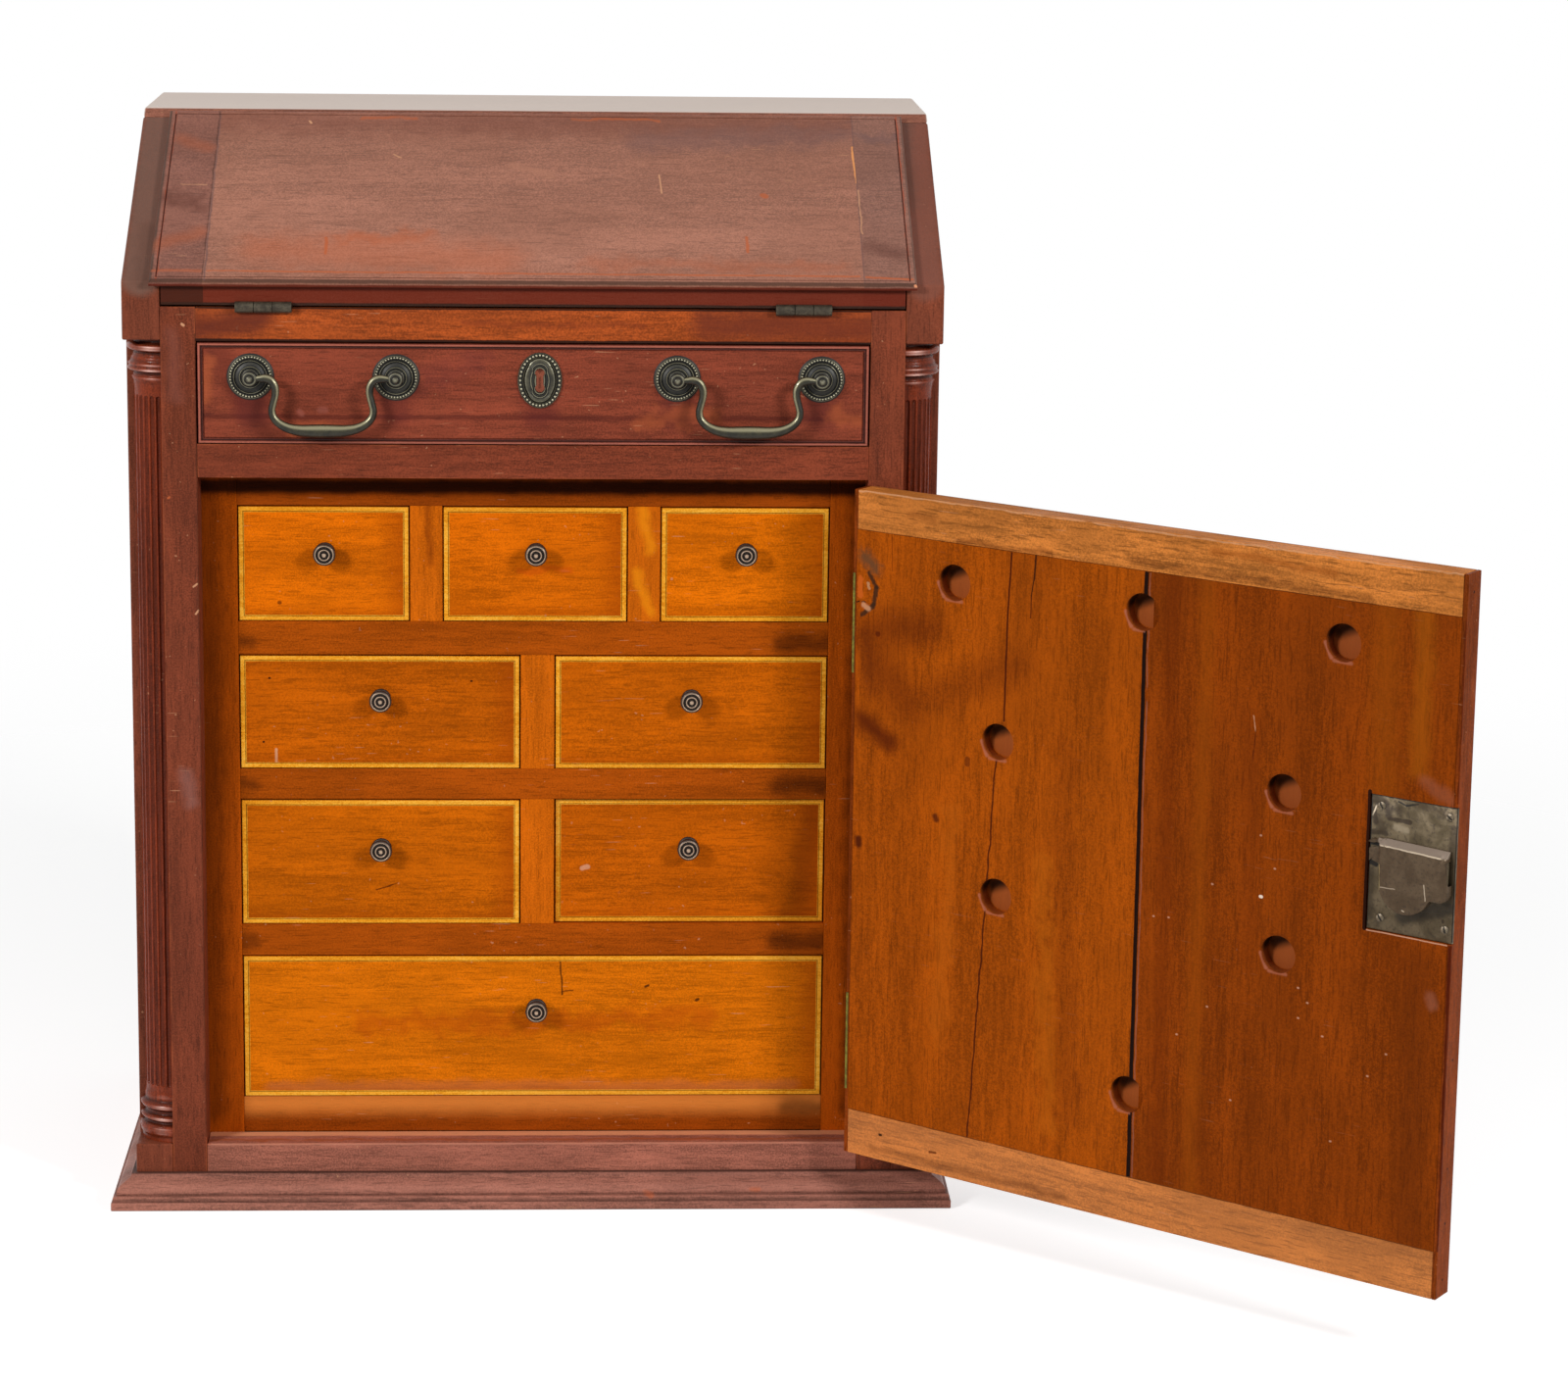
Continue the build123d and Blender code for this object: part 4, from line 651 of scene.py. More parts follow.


# On the lip: painted shade over its face, a painted shadow along its top edge and along the gap at its foot, and a
# painted highlight near its top.
LIP = ((-212, 171, 515), (212, 171, 515), 7.6, 1.4, 1, LIP_DARK, 0.9)
LIP_FOOT = ((-212, 166, 508.6), (212, 166, 508.6), 2.2, 0.8, 0.7, (18, 6, 2), 0.9)
LIP_TOP_SHADE = ((-212, 169.6), (212, 169.6), 2, 1.2, 0.7, (70, 46, 36), 0.85)
LIP_GLEAM = ((-140, 168.4, 516.6), (180, 168.4, 516.6), 2.8, 2.2, 0.7, (176, 86, 44), 0.5)
LIP_SMOKE = ((-212, 168, 514), (-184, 168, 514), 7.4, 3, 2.5, (50, 24, 12), 0.75)
LID_HAZE = (110, 80, 76)
LID_MARKS = [
    ((-150, 198), (-20, 190), 26, 26, 24, ORANGE, 0.4),
    ((30, 186), (170, 184), 10, 10, 24, ORANGE, 0.3),
    ((-107, 206), (-60, 210), 9, 9, 24, ORANGE, 0.5),
    ((-180, 178), (180, 176.5), 1.1, 0.8, 3, ORANGE, 0.75),
    ((-180, 318), (180, 318), 26, 26, 24, (116, 66, 52), 0.55),
    ((60, 300), (176, 306), 18, 18, 24, LID_HAZE, 0.5),
    ((-100, 321), (-70, 321), 2.2, 1.6, 6, ORANGE, 0.6),
    ((20, 320.6), (70, 320.6), 1.8, 1.4, 5, ORANGE, 0.6),
    ((70, 268), (71.4, 251), 0.6, 0.3, 1, SCRATCH, 0.8),
    ((129, 250), (129.8, 249), 2.6, 1, 4, ORANGE, 0.7),
    ((118.3, 211), (118.8, 198), 1.3, 0.7, 3, ORANGE, 0.8),
    ((-116.3, 208), (-116.2, 194), 1.3, 0.7, 3, ORANGE, 0.8),
    ((-81, 286), (-77, 283), 0.8, 0.4, 2, SCRATCH, 0.6),
    ((-131, 317), (-130, 315), 0.9, 0.4, 1, SCRATCH, 0.9),
    ((-13, 276), (8, 268), 5, 4.6, 12, (176, 120, 96), 0.5),
    LIP_TOP_SHADE, LIP, LIP_FOOT, LIP_GLEAM,
    ((-182.6, 330), (-181.6, 170), 1, 0.9, 2.5, LID_HAZE, 0.8),
    ((182.6, 330), (182.6, 170), 0.6, 0.5, 1, LID_HAZE, 0.7),
    ((181.8, 296), (182.6, 262), 0.9, 0.4, 1.6, (226, 150, 90), 0.9),
]
LID_EDGE = (66, 50, 40)
LEFT_CLEAT_MARKS = [
    ((-211.4, 332), (-211.4, 168), 1.6, 1, 0.7, LID_EDGE, 0.8),
    ((-210, 178), (-184, 178), 2, 1.8, 2.5, ORANGE, 0.5),
    ((-210, 200), (-186, 212), 10, 10, 8, ORANGE, 0.35),
    ((-206, 240), (-190, 240), 12, 12, 24, (84, 44, 34), 0.6),
    ((-208, 330), (-208, 170), 0.9, 0.8, 2, (170, 70, 36), 0.5),
    ((-204, 300), (-188, 290), 8, 8, 8, ORANGE, 0.3),
    ((-182.9, 330), (-182.6, 170), 0.9, 0.8, 2.5, DARK, 0.5),
    ((-200, 256), (-186, 256), 0.8, 0.5, 2, SCRATCH, 0.5),
    LIP_TOP_SHADE, LIP, LIP_FOOT, LIP_SMOKE,
]
RIGHT_CLEAT_MARKS = [
    ((211.6, 332), (211.6, 168), 1.2, 0.8, 0.7, LID_EDGE, 0.6),
    ((186, 306), (204, 304), 9, 8, 18, LID_HAZE, 0.6),
    ((187, 204), (203, 196), 10, 10, 8, (80, 42, 34), 0.5),
    ((208.8, 330), (208, 176), 0.9, 0.8, 2.4, (170, 70, 36), 0.6),
    ((184, 176), (209, 174), 1.3, 0.9, 3, ORANGE, 0.8),
    ((182.6, 330), (182.6, 170), 0.6, 0.5, 1, LID_HAZE, 0.6),
    LIP_TOP_SHADE, LIP, LIP_FOOT,
    ((211, 169), (212, 167), 1.6, 0.8, 2, (226, 150, 110), 0.9),
    ((183, 255), (183.5, 215), 0.7, 0.4, 1.4, SCRATCH, 0.6),
]
for node, colour, strokes in (
    ("lid_panel", (163, 110, 90), LID_MARKS), ("lid_cleat_left", (140, 92, 78), LEFT_CLEAT_MARKS),
    ("lid_cleat_right", (146, 101, 86), RIGHT_CLEAT_MARKS),
):
    finish_node(node, wood(node + "_varnish", shades_of(*colour, spread=0.75), figure=0.5, shift=2.7, clouds=0.3,
                           scuff=0.5, streaks=0.14, glow=0.15, board="lid", extra=marks(strokes, where=on_lid)))

# Bare boards inside and behind
for index, (node, grain) in enumerate((
    ("back_board", "x"), ("bottom_board", "x"), ("desk_floor", "x"), ("dust_board", "x"), ("drawer_guides", "y"),
    ("top_drawer_sides", "y"), ("top_drawer_back", "x"), ("top_drawer_bottom", "x"),
)):
    finish_node(node, wood(node + "_bare", shades_of(146, 108, 70), grain, shift=4.1 + 0.3 * index, gloss=0.6))

# Nest of small drawers
# Painted shade in the corners of the nest, by its stiles and the ends of its rails and shelves, and a black painted
# shadow under the drawer rail.
NEST_SHADE = (40, 12, 4)
NEST_HEAD_SHADOW = ((-190, 416), (190, 416), 6.4, 4.4, 2.5, (20, 5, 2), 0.9)
SHELF_HEIGHTS = (326, 243, 150)
STILES_MARKS = [
    ((-186, 50), (-186, 410), 15, 12, 5, NEST_SHADE, 0.5),
    NEST_HEAD_SHADOW,
    ((186, 50), (186, 410), 13, 12, 5, NEST_SHADE, 0.8),
]
RAIL_MARKS = [
    ((-165, 53), (165, 53), 12, 12, 2.5, (236, 142, 62), 0.6),
    NEST_HEAD_SHADOW,
    ((148, 50), (167, 50), 9, 9, 8, NEST_SHADE, 0.5),
]
SHELF_MARKS = [
    ((-168, z), (-160, z), 7, 6, 6, NEST_SHADE, 0.5) for z in SHELF_HEIGHTS
] + [
    ((140, z), (168, z), 9, 8, 8, NEST_SHADE, 0.6) for z in SHELF_HEIGHTS
]
DIVIDER_MARKS = [
    ((61, 404), (65, 380), 6, 6, 8, (228, 134, 16), 0.7),
    ((58, 366), (66, 344), 5, 5, 8, (232, 138, 16), 0.6),
    ((-60, 404), (-58, 372), 4, 4, 8, (122, 50, 6), 0.6),
]
for index, (node, grain, colour, strokes) in enumerate((
    ("nest_stiles", "z", (176, 78, 8), STILES_MARKS), ("nest_sides", "z", (118, 50, 8), ()),
    ("nest_rails", "x", (142, 62, 8), RAIL_MARKS), ("nest_shelves", "x", (160, 72, 8), SHELF_MARKS),
    ("nest_dividers", "z", (198, 96, 10), DIVIDER_MARKS),
)):
    finish = wood(node + "_stain", shades_of(*colour, spread=0.8), grain, shift=5.3 + 0.7 * index, sheen=0.02,
                  extra=marks(strokes, where=on_plane(FACE_BACK_Y)))
    softened(node, "case", finish, 0.4)

# Front of the wide drawer
MAUVE = (150, 82, 68)
DRAWER_MARKS = [
    ((-178, 500), (-150, 456), 14, 13, 10, (94, 38, 28), 0.55),
    ((-186, 459.2), (186, 459.2), 2.2, 1.6, 2.5, (74, 26, 20), 0.6),
] + [
    ((x, 474), (x, 462), 15, 11, 10, (84, 30, 28), 0.55) for x in (-157, -77, 3, 80, 160)
] + [
    ((-133, 452), (-110, 452), 6, 5, 12, ORANGE, 0.5),
    ((-130, 462), (-129, 461), 2.6, 2, 2.5, MAUVE, 0.6),
    ((-119, 463), (-116, 463), 2.8, 2.2, 2.5, MAUVE, 0.5),
    ((3.1, -119, 484), (3.1, -119, 476.8), 4, 1, 0.7, (176, 98, 74), 0.9),
    ((-183, 470), (-180, 490), 6, 5, 10, ORANGE, 0.4),
    ((60, 458), (95, 462), 9, 8, 16, ORANGE, 0.35),
    ((168, 462), (180, 458), 9, 8, 16, ORANGE, 0.4),
    ((-30, 490), (-60, 480), 12, 11, 20, (104, 44, 40), 0.4),
]
finish = wood("top_drawer_front_varnish", shades_of(134, 62, 42), "x", shift=7.7, streaks=0.24,
              extra=marks(DRAWER_MARKS, where=on_plane(FRONT_Y)))
softened("top_drawer_front", "top_drawer", finish, 0.3)


# Base moulding
def carried_round(profile, path):
    """A profile of (out, up) pairs carried round the case: each corner of the path moves out by the profile's
    first value, so the lengths meet in mitres, and the two ends close on the middle of the section."""
    section = np.asarray(profile, float)
    corners = []
    for (x, y), (out_x, out_y) in path:
        corners.append(np.stack([x + out_x * section[:, 0], y + out_y * section[:, 0], section[:, 1]], axis=-1))
    rings = [np.broadcast_to(corners[0].mean(axis=0), corners[0].shape), *corners,
             np.broadcast_to(corners[-1].mean(axis=0), corners[-1].shape)]
    return sheet(np.stack(rings))


ogee = curve([(10.5, 8.4), (10.4, 10.6), (9.0, 13.2), (6.0, 15.2), (3.6, 16.6), (2.6, 18.2)], 6)
moulding_profile = np.concatenate([
    [(0, 0), (13.2, 0), (13.5, 0.4), (13.5, 4.4), (13.2, 4.9), (12.6, 5.0), (12.5, 5.6), (12.5, 7.6), (12.2, 8.1),
     (11.4, 8.2)], ogee, [(2.5, 18.9), (2.2, 19.0), (0, 19.0)],
])
moulding_path = (
    ((-HALF_WIDTH, BACK_Y), (-1, 0)),
    ((-HALF_WIDTH, FRONT_Y), (-1, -1)),
    ((HALF_WIDTH, FRONT_Y), (1, -1)),
    ((HALF_WIDTH, BACK_Y), (1, 0)),
)
moulding_hollow = np.tile(np.interp(moulding_profile[:, 1], [0, 4.4, 5.2, 6.2, 8.0, 8.6, 10.6, 18.2, 18.9],
                                    [0, -0.3, 0.9, 0, 0, 0.6, -0.5, 0.2, 0.9]), 6)
MOULDING_MARKS = [
    ((-120, -133, 14), (-116, -133, 15), 0.8, 0.4, 1, SCRATCH, 0.8),
    ((30, -133, 12), (33, -133, 10), 1, 0.5, 2, SCRATCH, 0.6),
    ((64, -132, 10), (68, -132, 8), 2.6, 1.6, 4, ORANGE, 0.5),
    ((126, -132, 11), (130, -132, 11), 2.8, 1.8, 4, ORANGE, 0.5),
]
finish = wood("base_moulding_varnish", shades_of(148, 96, 81), "x", shift=8.8, hollows=True,
              extra=marks(MOULDING_MARKS))
make_piece("moulding_round_case", *carried_round(moulding_profile, moulding_path), "case", "case_mahogany",
           finish, ("base_moulding",), hollow=moulding_hollow)

# Quarter columns
CAPITAL = np.array([
    (0.05, 0.00), (0.00, 0.05), (0.15, 0.09), (0.75, 0.106), (1.00, 0.15), (1.00, 0.20),
    (0.75, 0.24), (0.15, 0.26), (0.15, 0.34), (0.35, 0.36), (0.50, 0.45), (0.70, 0.47),
    (0.90, 0.51), (0.70, 0.55), (0.95, 0.575), (1.00, 0.60), (0.75, 0.635), (0.12, 0.65),
    (0.12, 0.73), (0.40, 0.75), (0.15, 0.84), (0.04, 0.94), (0.00, 1.00),
])
COLUMN_FOOT = np.array([
    (0.60, 0.00), (0.60, 0.10), (0.85, 0.13), (1.00, 0.22), (0.85, 0.31), (0.20, 0.35),
    (0.20, 0.39), (0.70, 0.42), (0.85, 0.46), (0.60, 0.51), (0.15, 0.53), (0.15, 0.61),
    (0.65, 0.64), (0.88, 0.70), (0.65, 0.75), (0.15, 0.80), (0.20, 0.88), (0.00, 1.00),
])
COLUMN_RADIUS = 17.0
RING_RISE = 3.5
FOOT_HEIGHT, HEAD_HEIGHT = 29.4, 29.3
END_STEPS = np.array([1.0, 2.0, 2.7, 3.0, 3.3, 3.7, 4.2, 4.8])
FLUTES = 7
FLUTE_REACH, FLUTE_DEPTH, FLUTE_END = 1.42, 1.15, 4.3


def quarter_column(hand):
    """Radius as a function of turn and height: rings near the ends, and in the shaft seven flutes, each a
    circular groove with a round end; the quarter closes on its axis. Its third value is how hollow it is, less a
    painted highlight on the crests of the rings towards the front."""
    low, high = COLUMN_SPAN
    foot, head = low + FOOT_HEIGHT, high - HEAD_HEIGHT
    heights = np.concatenate([
        np.linspace(low, foot, 110), foot + END_STEPS, np.linspace(foot + 8, head - 8, 24), head - END_STEPS[::-1],
        np.linspace(head, high, 110),
    ])
    rise = np.interp((heights - low) / FOOT_HEIGHT, COLUMN_FOOT[:, 1], COLUMN_FOOT[:, 0], right=0.0)
    ring = COLUMN_RADIUS + RING_RISE * rise
    ring += RING_RISE * np.interp((high - heights) / HEAD_HEIGHT, CAPITAL[:, 1], CAPITAL[:, 0], right=0.0)
    smooth = np.convolve(np.pad(ring, 2, mode="edge"), np.array([0.1, 0.2, 0.4, 0.2, 0.1]), mode="valid")
    turn = np.linspace(0, math.pi / 2, FLUTES * 16 + 1)
    pitch = math.pi / (2 * FLUTES)
    aside = (np.mod(turn, pitch) - pitch / 2) * COLUMN_RADIUS
    beyond = np.maximum(0, np.maximum(foot + FLUTE_END - heights, heights - head + FLUTE_END))[:, None]
    groove = np.sqrt(np.maximum(0, 1 - (aside[None, :] ** 2 + beyond ** 2) / FLUTE_REACH ** 2)) * FLUTE_DEPTH
    around = [smooth[max(0, row - 6):row + 7] for row in range(len(smooth))]
    highest = np.array([near.max() for near in around])
    lowest = np.array([near.min() for near in around])
    crest = np.clip((smooth - lowest) / 2.5, 0, 0.8) * (smooth > highest - 0.3)
    # Painted highlight: the crests of the rings are lit most at one turn towards the front.
    shine = crest[:, None] * (0.25 + 1.7 * np.exp(-((turn - 1.25) / 0.22) ** 2))
    hollow = np.pad(groove / FLUTE_DEPTH * 0.5 + np.clip((highest - smooth) / 2.0, 0, 0.9)[:, None] - shine, 1)
    radius = np.pad(smooth[:, None] - groove, 1)
    heights = np.pad(heights, 1, mode="edge")[:, None]
    turn = np.pad(turn, 1, mode="edge")[None, :]
    points = np.stack([hand * (SIDE_INNER + radius * np.cos(turn)), FACE_BACK_Y - radius * np.sin(turn),
                       heights + 0 * turn], axis=-1)
    return (*sheet(points, wrap=False), hollow)


for hand, side in ((-1, "left"), (1, "right")):
    # The pale tone is the painted highlight on the crests of the rings.
    finish = wood(f"column_{side}_varnish", shades_of(124, 50, 26), "z", shift=9.5 + hand, sheen=0.12, gloss=0.2,
                  rub_and_highlight_tone=(232, 184, 170), hollows=True)
    points, faces, hollow = quarter_column(hand)
    make_piece(f"fluted_column_{side}", points, faces, "case", "case_mahogany", finish,
               (f"quarter_column_{side}",), hollow=hollow)


# Small drawers: fronts with a border of pale inlay, mitred at the corners
def border(low, high, front_y, section):
    """A strip carried round a rectangle: each corner moves in diagonally by the section's first value, so the
    four lengths meet in mitres; the second value is the distance in front of the board."""
    strip = np.asarray(section, float)
    corners = [(low[0], low[1], 1, 1), (high[0], low[1], -1, 1), (high[0], high[1], -1, -1),
               (low[0], high[1], 1, -1)]
    points = np.stack([
        np.stack([x + in_x * strip[:, 0], front_y - strip[:, 1], z + in_z * strip[:, 0]], axis=-1)
        for x, z, in_x, in_z in corners
    ])
    return points.reshape(-1, 3), sheet_faces(5, len(strip)) % (4 * len(strip))


# Each strip is (inwards, in front, hollow)
INLAY_STRIP = [
    (0.0, -0.6, 1.0), (0.0, 0.0, 0.6), (0.25, 0.22, 0.0), (2.2, 0.25, 0.0), (2.35, 0.2, 0.3), (2.5, 0.05, 0.9),
    (2.75, 0.05, 0.9), (2.8, 0.12, 0.2), (3.1, 0.1, 0.0), (3.2, -0.6, 0.0),
]
# The cock bead's hollow gives its top a painted highlight, in the pale tone of its finish, and paints shade into its
# quirk and onto its outer side in the gap round the drawer.
COCK_BEAD = [
    (0.0, -0.6, 1.0), (0.0, 0.2, 1.0), (0.12, 0.7, 0.2), (0.45, 1.1, -0.6), (0.9, 1.2, -1.0), (1.35, 1.1, -0.4),
    (1.65, 0.7, 0.5), (1.8, 0.2, 1.0), (1.9, 0.04, 1.0), (2.4, 0.04, 0.9), (2.7, 0.03, 0.2), (2.8, -0.6, 0.0),
]
bead_low, bead_high = box_of("top_drawer_front")
make_piece("cock_bead", *border((bead_low[0], bead_low[2]), (bead_high[0], bead_high[2]), FRONT_Y, COCK_BEAD),
           "top_drawer", "case_mahogany",
           wood("cock_bead_varnish", shades_of(126, 62, 50), "x", shift=8.1, sheen=0.15, gloss=0.28, hollows=True,
                rub_and_highlight_tone=(196, 118, 96)), hollow=np.tile([row[2] for row in COCK_BEAD], 4))
# The last tone is the painted highlight on the knob's rings.
KNOB_TONES = ((128, 106, 88), (88, 70, 58), (24, 18, 16), (206, 178, 150))
knob_finish = metal("knob_bronze", KNOB_TONES, 180.0, 0.28, hollows=True)
KNOB = [
    (0.0, -6.0), (1.8, -6.0), (1.8, 0.0), (5.4, 0.0), (5.5, 0.5), (5.2, 1.1), (3.4, 1.5), (3.0, 2.4), (3.1, 4.4),
    (4.0, 5.6), (5.8, 6.2), (6.3, 7.0), (6.3, 7.9), (5.9, 8.7), (5.1, 9.2), (4.7, 8.9), (4.4, 8.3), (4.0, 8.3),
    (3.7, 8.9), (3.3, 9.5), (2.8, 9.6), (2.4, 9.2), (2.1, 8.7), (1.8, 8.7), (1.5, 9.3), (1.1, 9.9), (0.6, 10.0),
    (0.0, 10.0),
]
SPICE_TONES = ((208, 101, 5), (204, 98, 5), (208, 103, 5), (184, 87, 5), (190, 91, 5), (190, 93, 5), (186, 88, 5),
               (206, 106, 6))
SPICE_MARKS = {
    1: [((-144, 349), (-143.5, 349), 1.3, 0.6, 1, KNOT, 0.7)],
    2: [((-8, 368), (20, 368), 3, 2.4, 6, (196, 80, 8), 0.6)],
    4: [((-146.5, 263.6), (-146.6, 255.5), 1, 0.5, 0.8, SCRATCH, 0.9),
        ((-150, 305.2), (-149.8, 305.2), 0.8, 0.3, 0.6, DARK, 0.9),
        ((-35.7, 303.7), (-35.5, 303.7), 0.8, 0.3, 0.6, DARK, 0.9),
        ((-153.7, 268), (-153.5, 268), 0.8, 0.3, 0.6, DARK, 0.9)],
    6: [((-90, 181), (-78, 184.5), 0.7, 0.4, 1.6, KNOT, 0.8)],
    # Drawers 7 and 8 are darker by the right stile, as painted shade.
    7: [((28, 192.5), (31, 193.5), 2, 1, 2.6, PALE, 0.6),
        ((150, 165), (160, 225), 12, 11, 6, NEST_SHADE, 0.4)],
    8: [((15, 141.5), (16.5, 118), 0.7, 0.4, 1.4, DARK, 0.8),
        ((16.5, 120), (23, 120.5), 0.6, 0.4, 1.6, KNOT, 0.7),
        ((64, 122.6), (66, 123.4), 1, 0.5, 1.6, DARK, 0.8),
        ((94, 114.5), (95, 115), 1.1, 0.5, 1, DARK, 0.8),
        ((-100, 100), (100, 104), 10, 9, 30, (168, 66, 6), 0.45),
        ((148, 80), (166, 130), 9, 8, 10, NEST_SHADE, 0.1),
        # Painted reflection of the rail below: a pale band along the drawer's foot.
        ((-150, 62), (150, 62), 7, 6.5, 12, (190, 110, 60), 0.5)],
}
SPICE_SHADE = (150, 60, 3)
for number, colour in enumerate(SPICE_TONES, start=1):
    node = f"spice_drawer_{number}"
    body = f"small_drawer_{number}"
    low, high = box_of(node)
    front_y = FACE_BACK_Y + SPICE_SET_BACK.get(number, 0.0)
    shadows = [((high[0], -99, low[2]), (high[0], -99, high[2]), 22, 22, 8, SPICE_SHADE, 0.55),
               ((low[0], -99, low[2]), (high[0], -99, low[2]), 12, 12, 8, SPICE_SHADE, 0.4)]
    finish = wood(node + "_satin", shades_of(*colour, spread=0.75), "x", shift=11.0 + 0.53 * number, sheen=0.02,
                  streaks=0.26, extra=marks([*SPICE_MARKS.get(number, ()), *shadows], where=on_plane(front_y)))
    softened(node, body, finish, 0.35)
    inlay_finish = wood(f"inlay_{number}_satin", INLAY, "x", shift=16.0 + number, pores=0.2, clouds=0.25,
                        sheen=0.04, hollows=True)
    make_piece(f"inlay_{number}", *border((low[0] + 0.1, low[2] + 0.1), (high[0] - 0.1, high[2] - 0.1), front_y,
                                          INLAY_STRIP), body, "spice_drawer_wood", inlay_finish,
               hollow=np.tile([row[2] for row in INLAY_STRIP], 4))
    across, up = middle_of(f"spice_knob_{number}")
    rings = curve(KNOB, 3)
    make_piece(f"ringed_knob_{number}", *turned(rings, (across, front_y, up)), body, "knob_brass", knob_finish,
               (f"spice_knob_{number}",), hollow=hollow_of(rings, 48, 0.8, 0.5))

# Brass of the top drawer
# The last tone of each is the painted highlight on ridges.
ANTIQUE = ((92, 88, 70), (52, 49, 38), (14, 13, 10), (200, 194, 164))
BAIL_TONES = ((72, 68, 50), (36, 35, 26), (12, 12, 8), (196, 188, 150))
antique = metal("antique_brass_patina", ANTIQUE, 150.0, 0.3, grime=0.5, hollows=True)
bail_brass = metal("bail_brass_patina", BAIL_TONES, 130.0, 0.22, metallic=0.5, hollows=True)
ROSETTE = [
    (2.4, 0.0), (12.3, 0.0), (12.5, 0.6), (12.3, 1.1), (11.9, 1.3), (11.7, 0.9), (10.5, 0.9), (10.1, 0.8), (9.7, 1.5),
    (9.3, 2.2), (8.9, 2.1), (8.5, 1.4), (8.0, 1.4), (7.0, 1.9), (6.4, 2.2), (6.1, 2.9), (5.6, 2.9), (5.3, 2.5),
    (4.9, 2.6), (4.6, 3.4), (4.2, 3.7), (2.4, 3.7),
]
POST = [
    (0.0, -12.0), (2.4, -12.0), (2.4, 3.4), (4.0, 3.6), (4.2, 4.2), (3.6, 4.6), (3.5, 7.0), (4.1, 7.9), (4.2, 8.8),
    (3.7, 9.5), (2.9, 9.7), (2.5, 9.6), (2.2, 9.9), (1.9, 10.6), (1.2, 11.2), (0.0, 11.4),
]


PEARL_SIDES = 10
PEARL_RISE = np.linspace(0, math.pi / 2, 5)


def pearls(places, radius, base_y):
    """Half balls that face the front at the given (x, z) places: each is a grid of turn and rise."""
    turn = full_turn(PEARL_SIDES)
    x = radius * np.outer(np.cos(PEARL_RISE), np.cos(turn))
    z = radius * np.outer(np.cos(PEARL_RISE), np.sin(turn))
    y = -radius * np.outer(np.sin(PEARL_RISE), np.ones(PEARL_SIDES))
    points, faces = sheet(np.stack([x, y, z], axis=-1))
    return joined([(np.array([across, base_y, up]) + points, faces) for across, up in places])


def pearl_hollows(count):
    """Each pearl is dark at its foot and has a painted highlight at its top."""
    return np.tile(np.repeat(1 - 2 * np.sin(PEARL_RISE), PEARL_SIDES), count)


post_places = [centre + side * HALF_BORING for centre in BAIL_CENTRES for side in (-1, 1)]
around = full_turn(42)
plate, post = curve(ROSETTE, 3), curve(POST, 3)
shapes, hollows = [], []
for x in post_places:
    ring = np.stack([x + 11.1 * np.cos(around), HANDLE_Z + 11.1 * np.sin(around)], axis=-1)
    shapes += [turned(plate, (x, FRONT_Y, HANDLE_Z), 64), turned(post, (x, FRONT_Y, HANDLE_Z), 40),
               pearls(ring, 0.7, FRONT_Y - 1.0)]
    hollows += [hollow_of(plate, 64, 0.9, shine=0.35) + 0.1, hollow_of(post, 40, 0.7, shine=0.5),
                pearl_hollows(len(around))]
make_piece("pearled_rosettes", *joined(shapes), "top_drawer", "antique_brass", antique, ("bail_posts",),
           hollow=np.concatenate(hollows))


ROD_SIDES = 24


def swept_rod(path, radii):
    """A rod whose radius changes along its path: a circle carried square to the path in the bail's plane."""
    spine = np.asarray(path, float)
    ahead = np.gradient(spine, axis=0)
    ahead = ahead / np.linalg.norm(ahead, axis=1)[:, None]
    out = np.array([0.0, -1.0, 0.0])
    across = np.cross(ahead, out)
    turn = full_turn(ROD_SIDES)[None, :, None]
    ring = np.cos(turn) * across[:, None, :] + np.sin(turn) * out
    return sheet(spine[:, None, :] + np.asarray(radii)[:, None, None] * ring)


def rod_hollow(radii):
    """Grime round a rod and a painted highlight along its upper front, by the turn round it."""
    return np.tile(0.62 - 1.25 * np.clip(np.sin(full_turn(ROD_SIDES) - 0.7), 0, 1) ** 5, len(radii))


# Half a bail from its end to its middle, each (across, up, radius)
BAIL = [
    (-38.0, 0.0, 1.3), (-35.2, 0.2, 1.8), (-31.6, 0.4, 2.3), (-28.2, -0.9, 2.3), (-26.2, -4.4, 2.2),
    (-26.0, -8.6, 2.05), (-27.2, -13.6, 2.0), (-28.0, -17.6, 2.05), (-27.0, -21.6, 2.15), (-23.6, -25.2, 2.4),
    (-18.4, -27.7, 2.75), (-12.0, -28.8, 3.25), (-6.0, -29.0, 3.6), (0.0, -29.0, 3.75),
]
line = curve(BAIL + [(-x, z, r) for x, z, r in reversed(BAIL[:-1])], 8)
radii = line[:, 2].copy()
radii[0] = radii[-1] = 0.0
for side, centre_x in zip(("left", "right"), BAIL_CENTRES):
    path = np.stack([centre_x + line[:, 0], np.full(len(line), PIVOT_Y), HANDLE_Z + line[:, 1]], axis=-1)
    make_piece(f"swan_neck_bail_{side}", *swept_rod(path, radii), f"{side}_bail", "antique_brass", bail_brass,
               (f"bail_{side}",), hollow=rod_hollow(radii))


def figure_eight(turn, radius, spread):
    """The outline of two circles one above the other, as the farther crossing of a ray from the middle."""
    rise = np.abs(np.sin(turn)) * spread / 2
    across = np.abs(np.cos(turn)) * spread / 2
    reach = rise + np.sqrt(np.maximum(radius ** 2 - across ** 2, 0.0))
    waist = 1.9 * radius / 2.6 / np.maximum(np.abs(np.cos(turn)), 0.05)
    return np.maximum(np.where(across < radius, reach, 0.0), np.minimum(waist, 4.0))


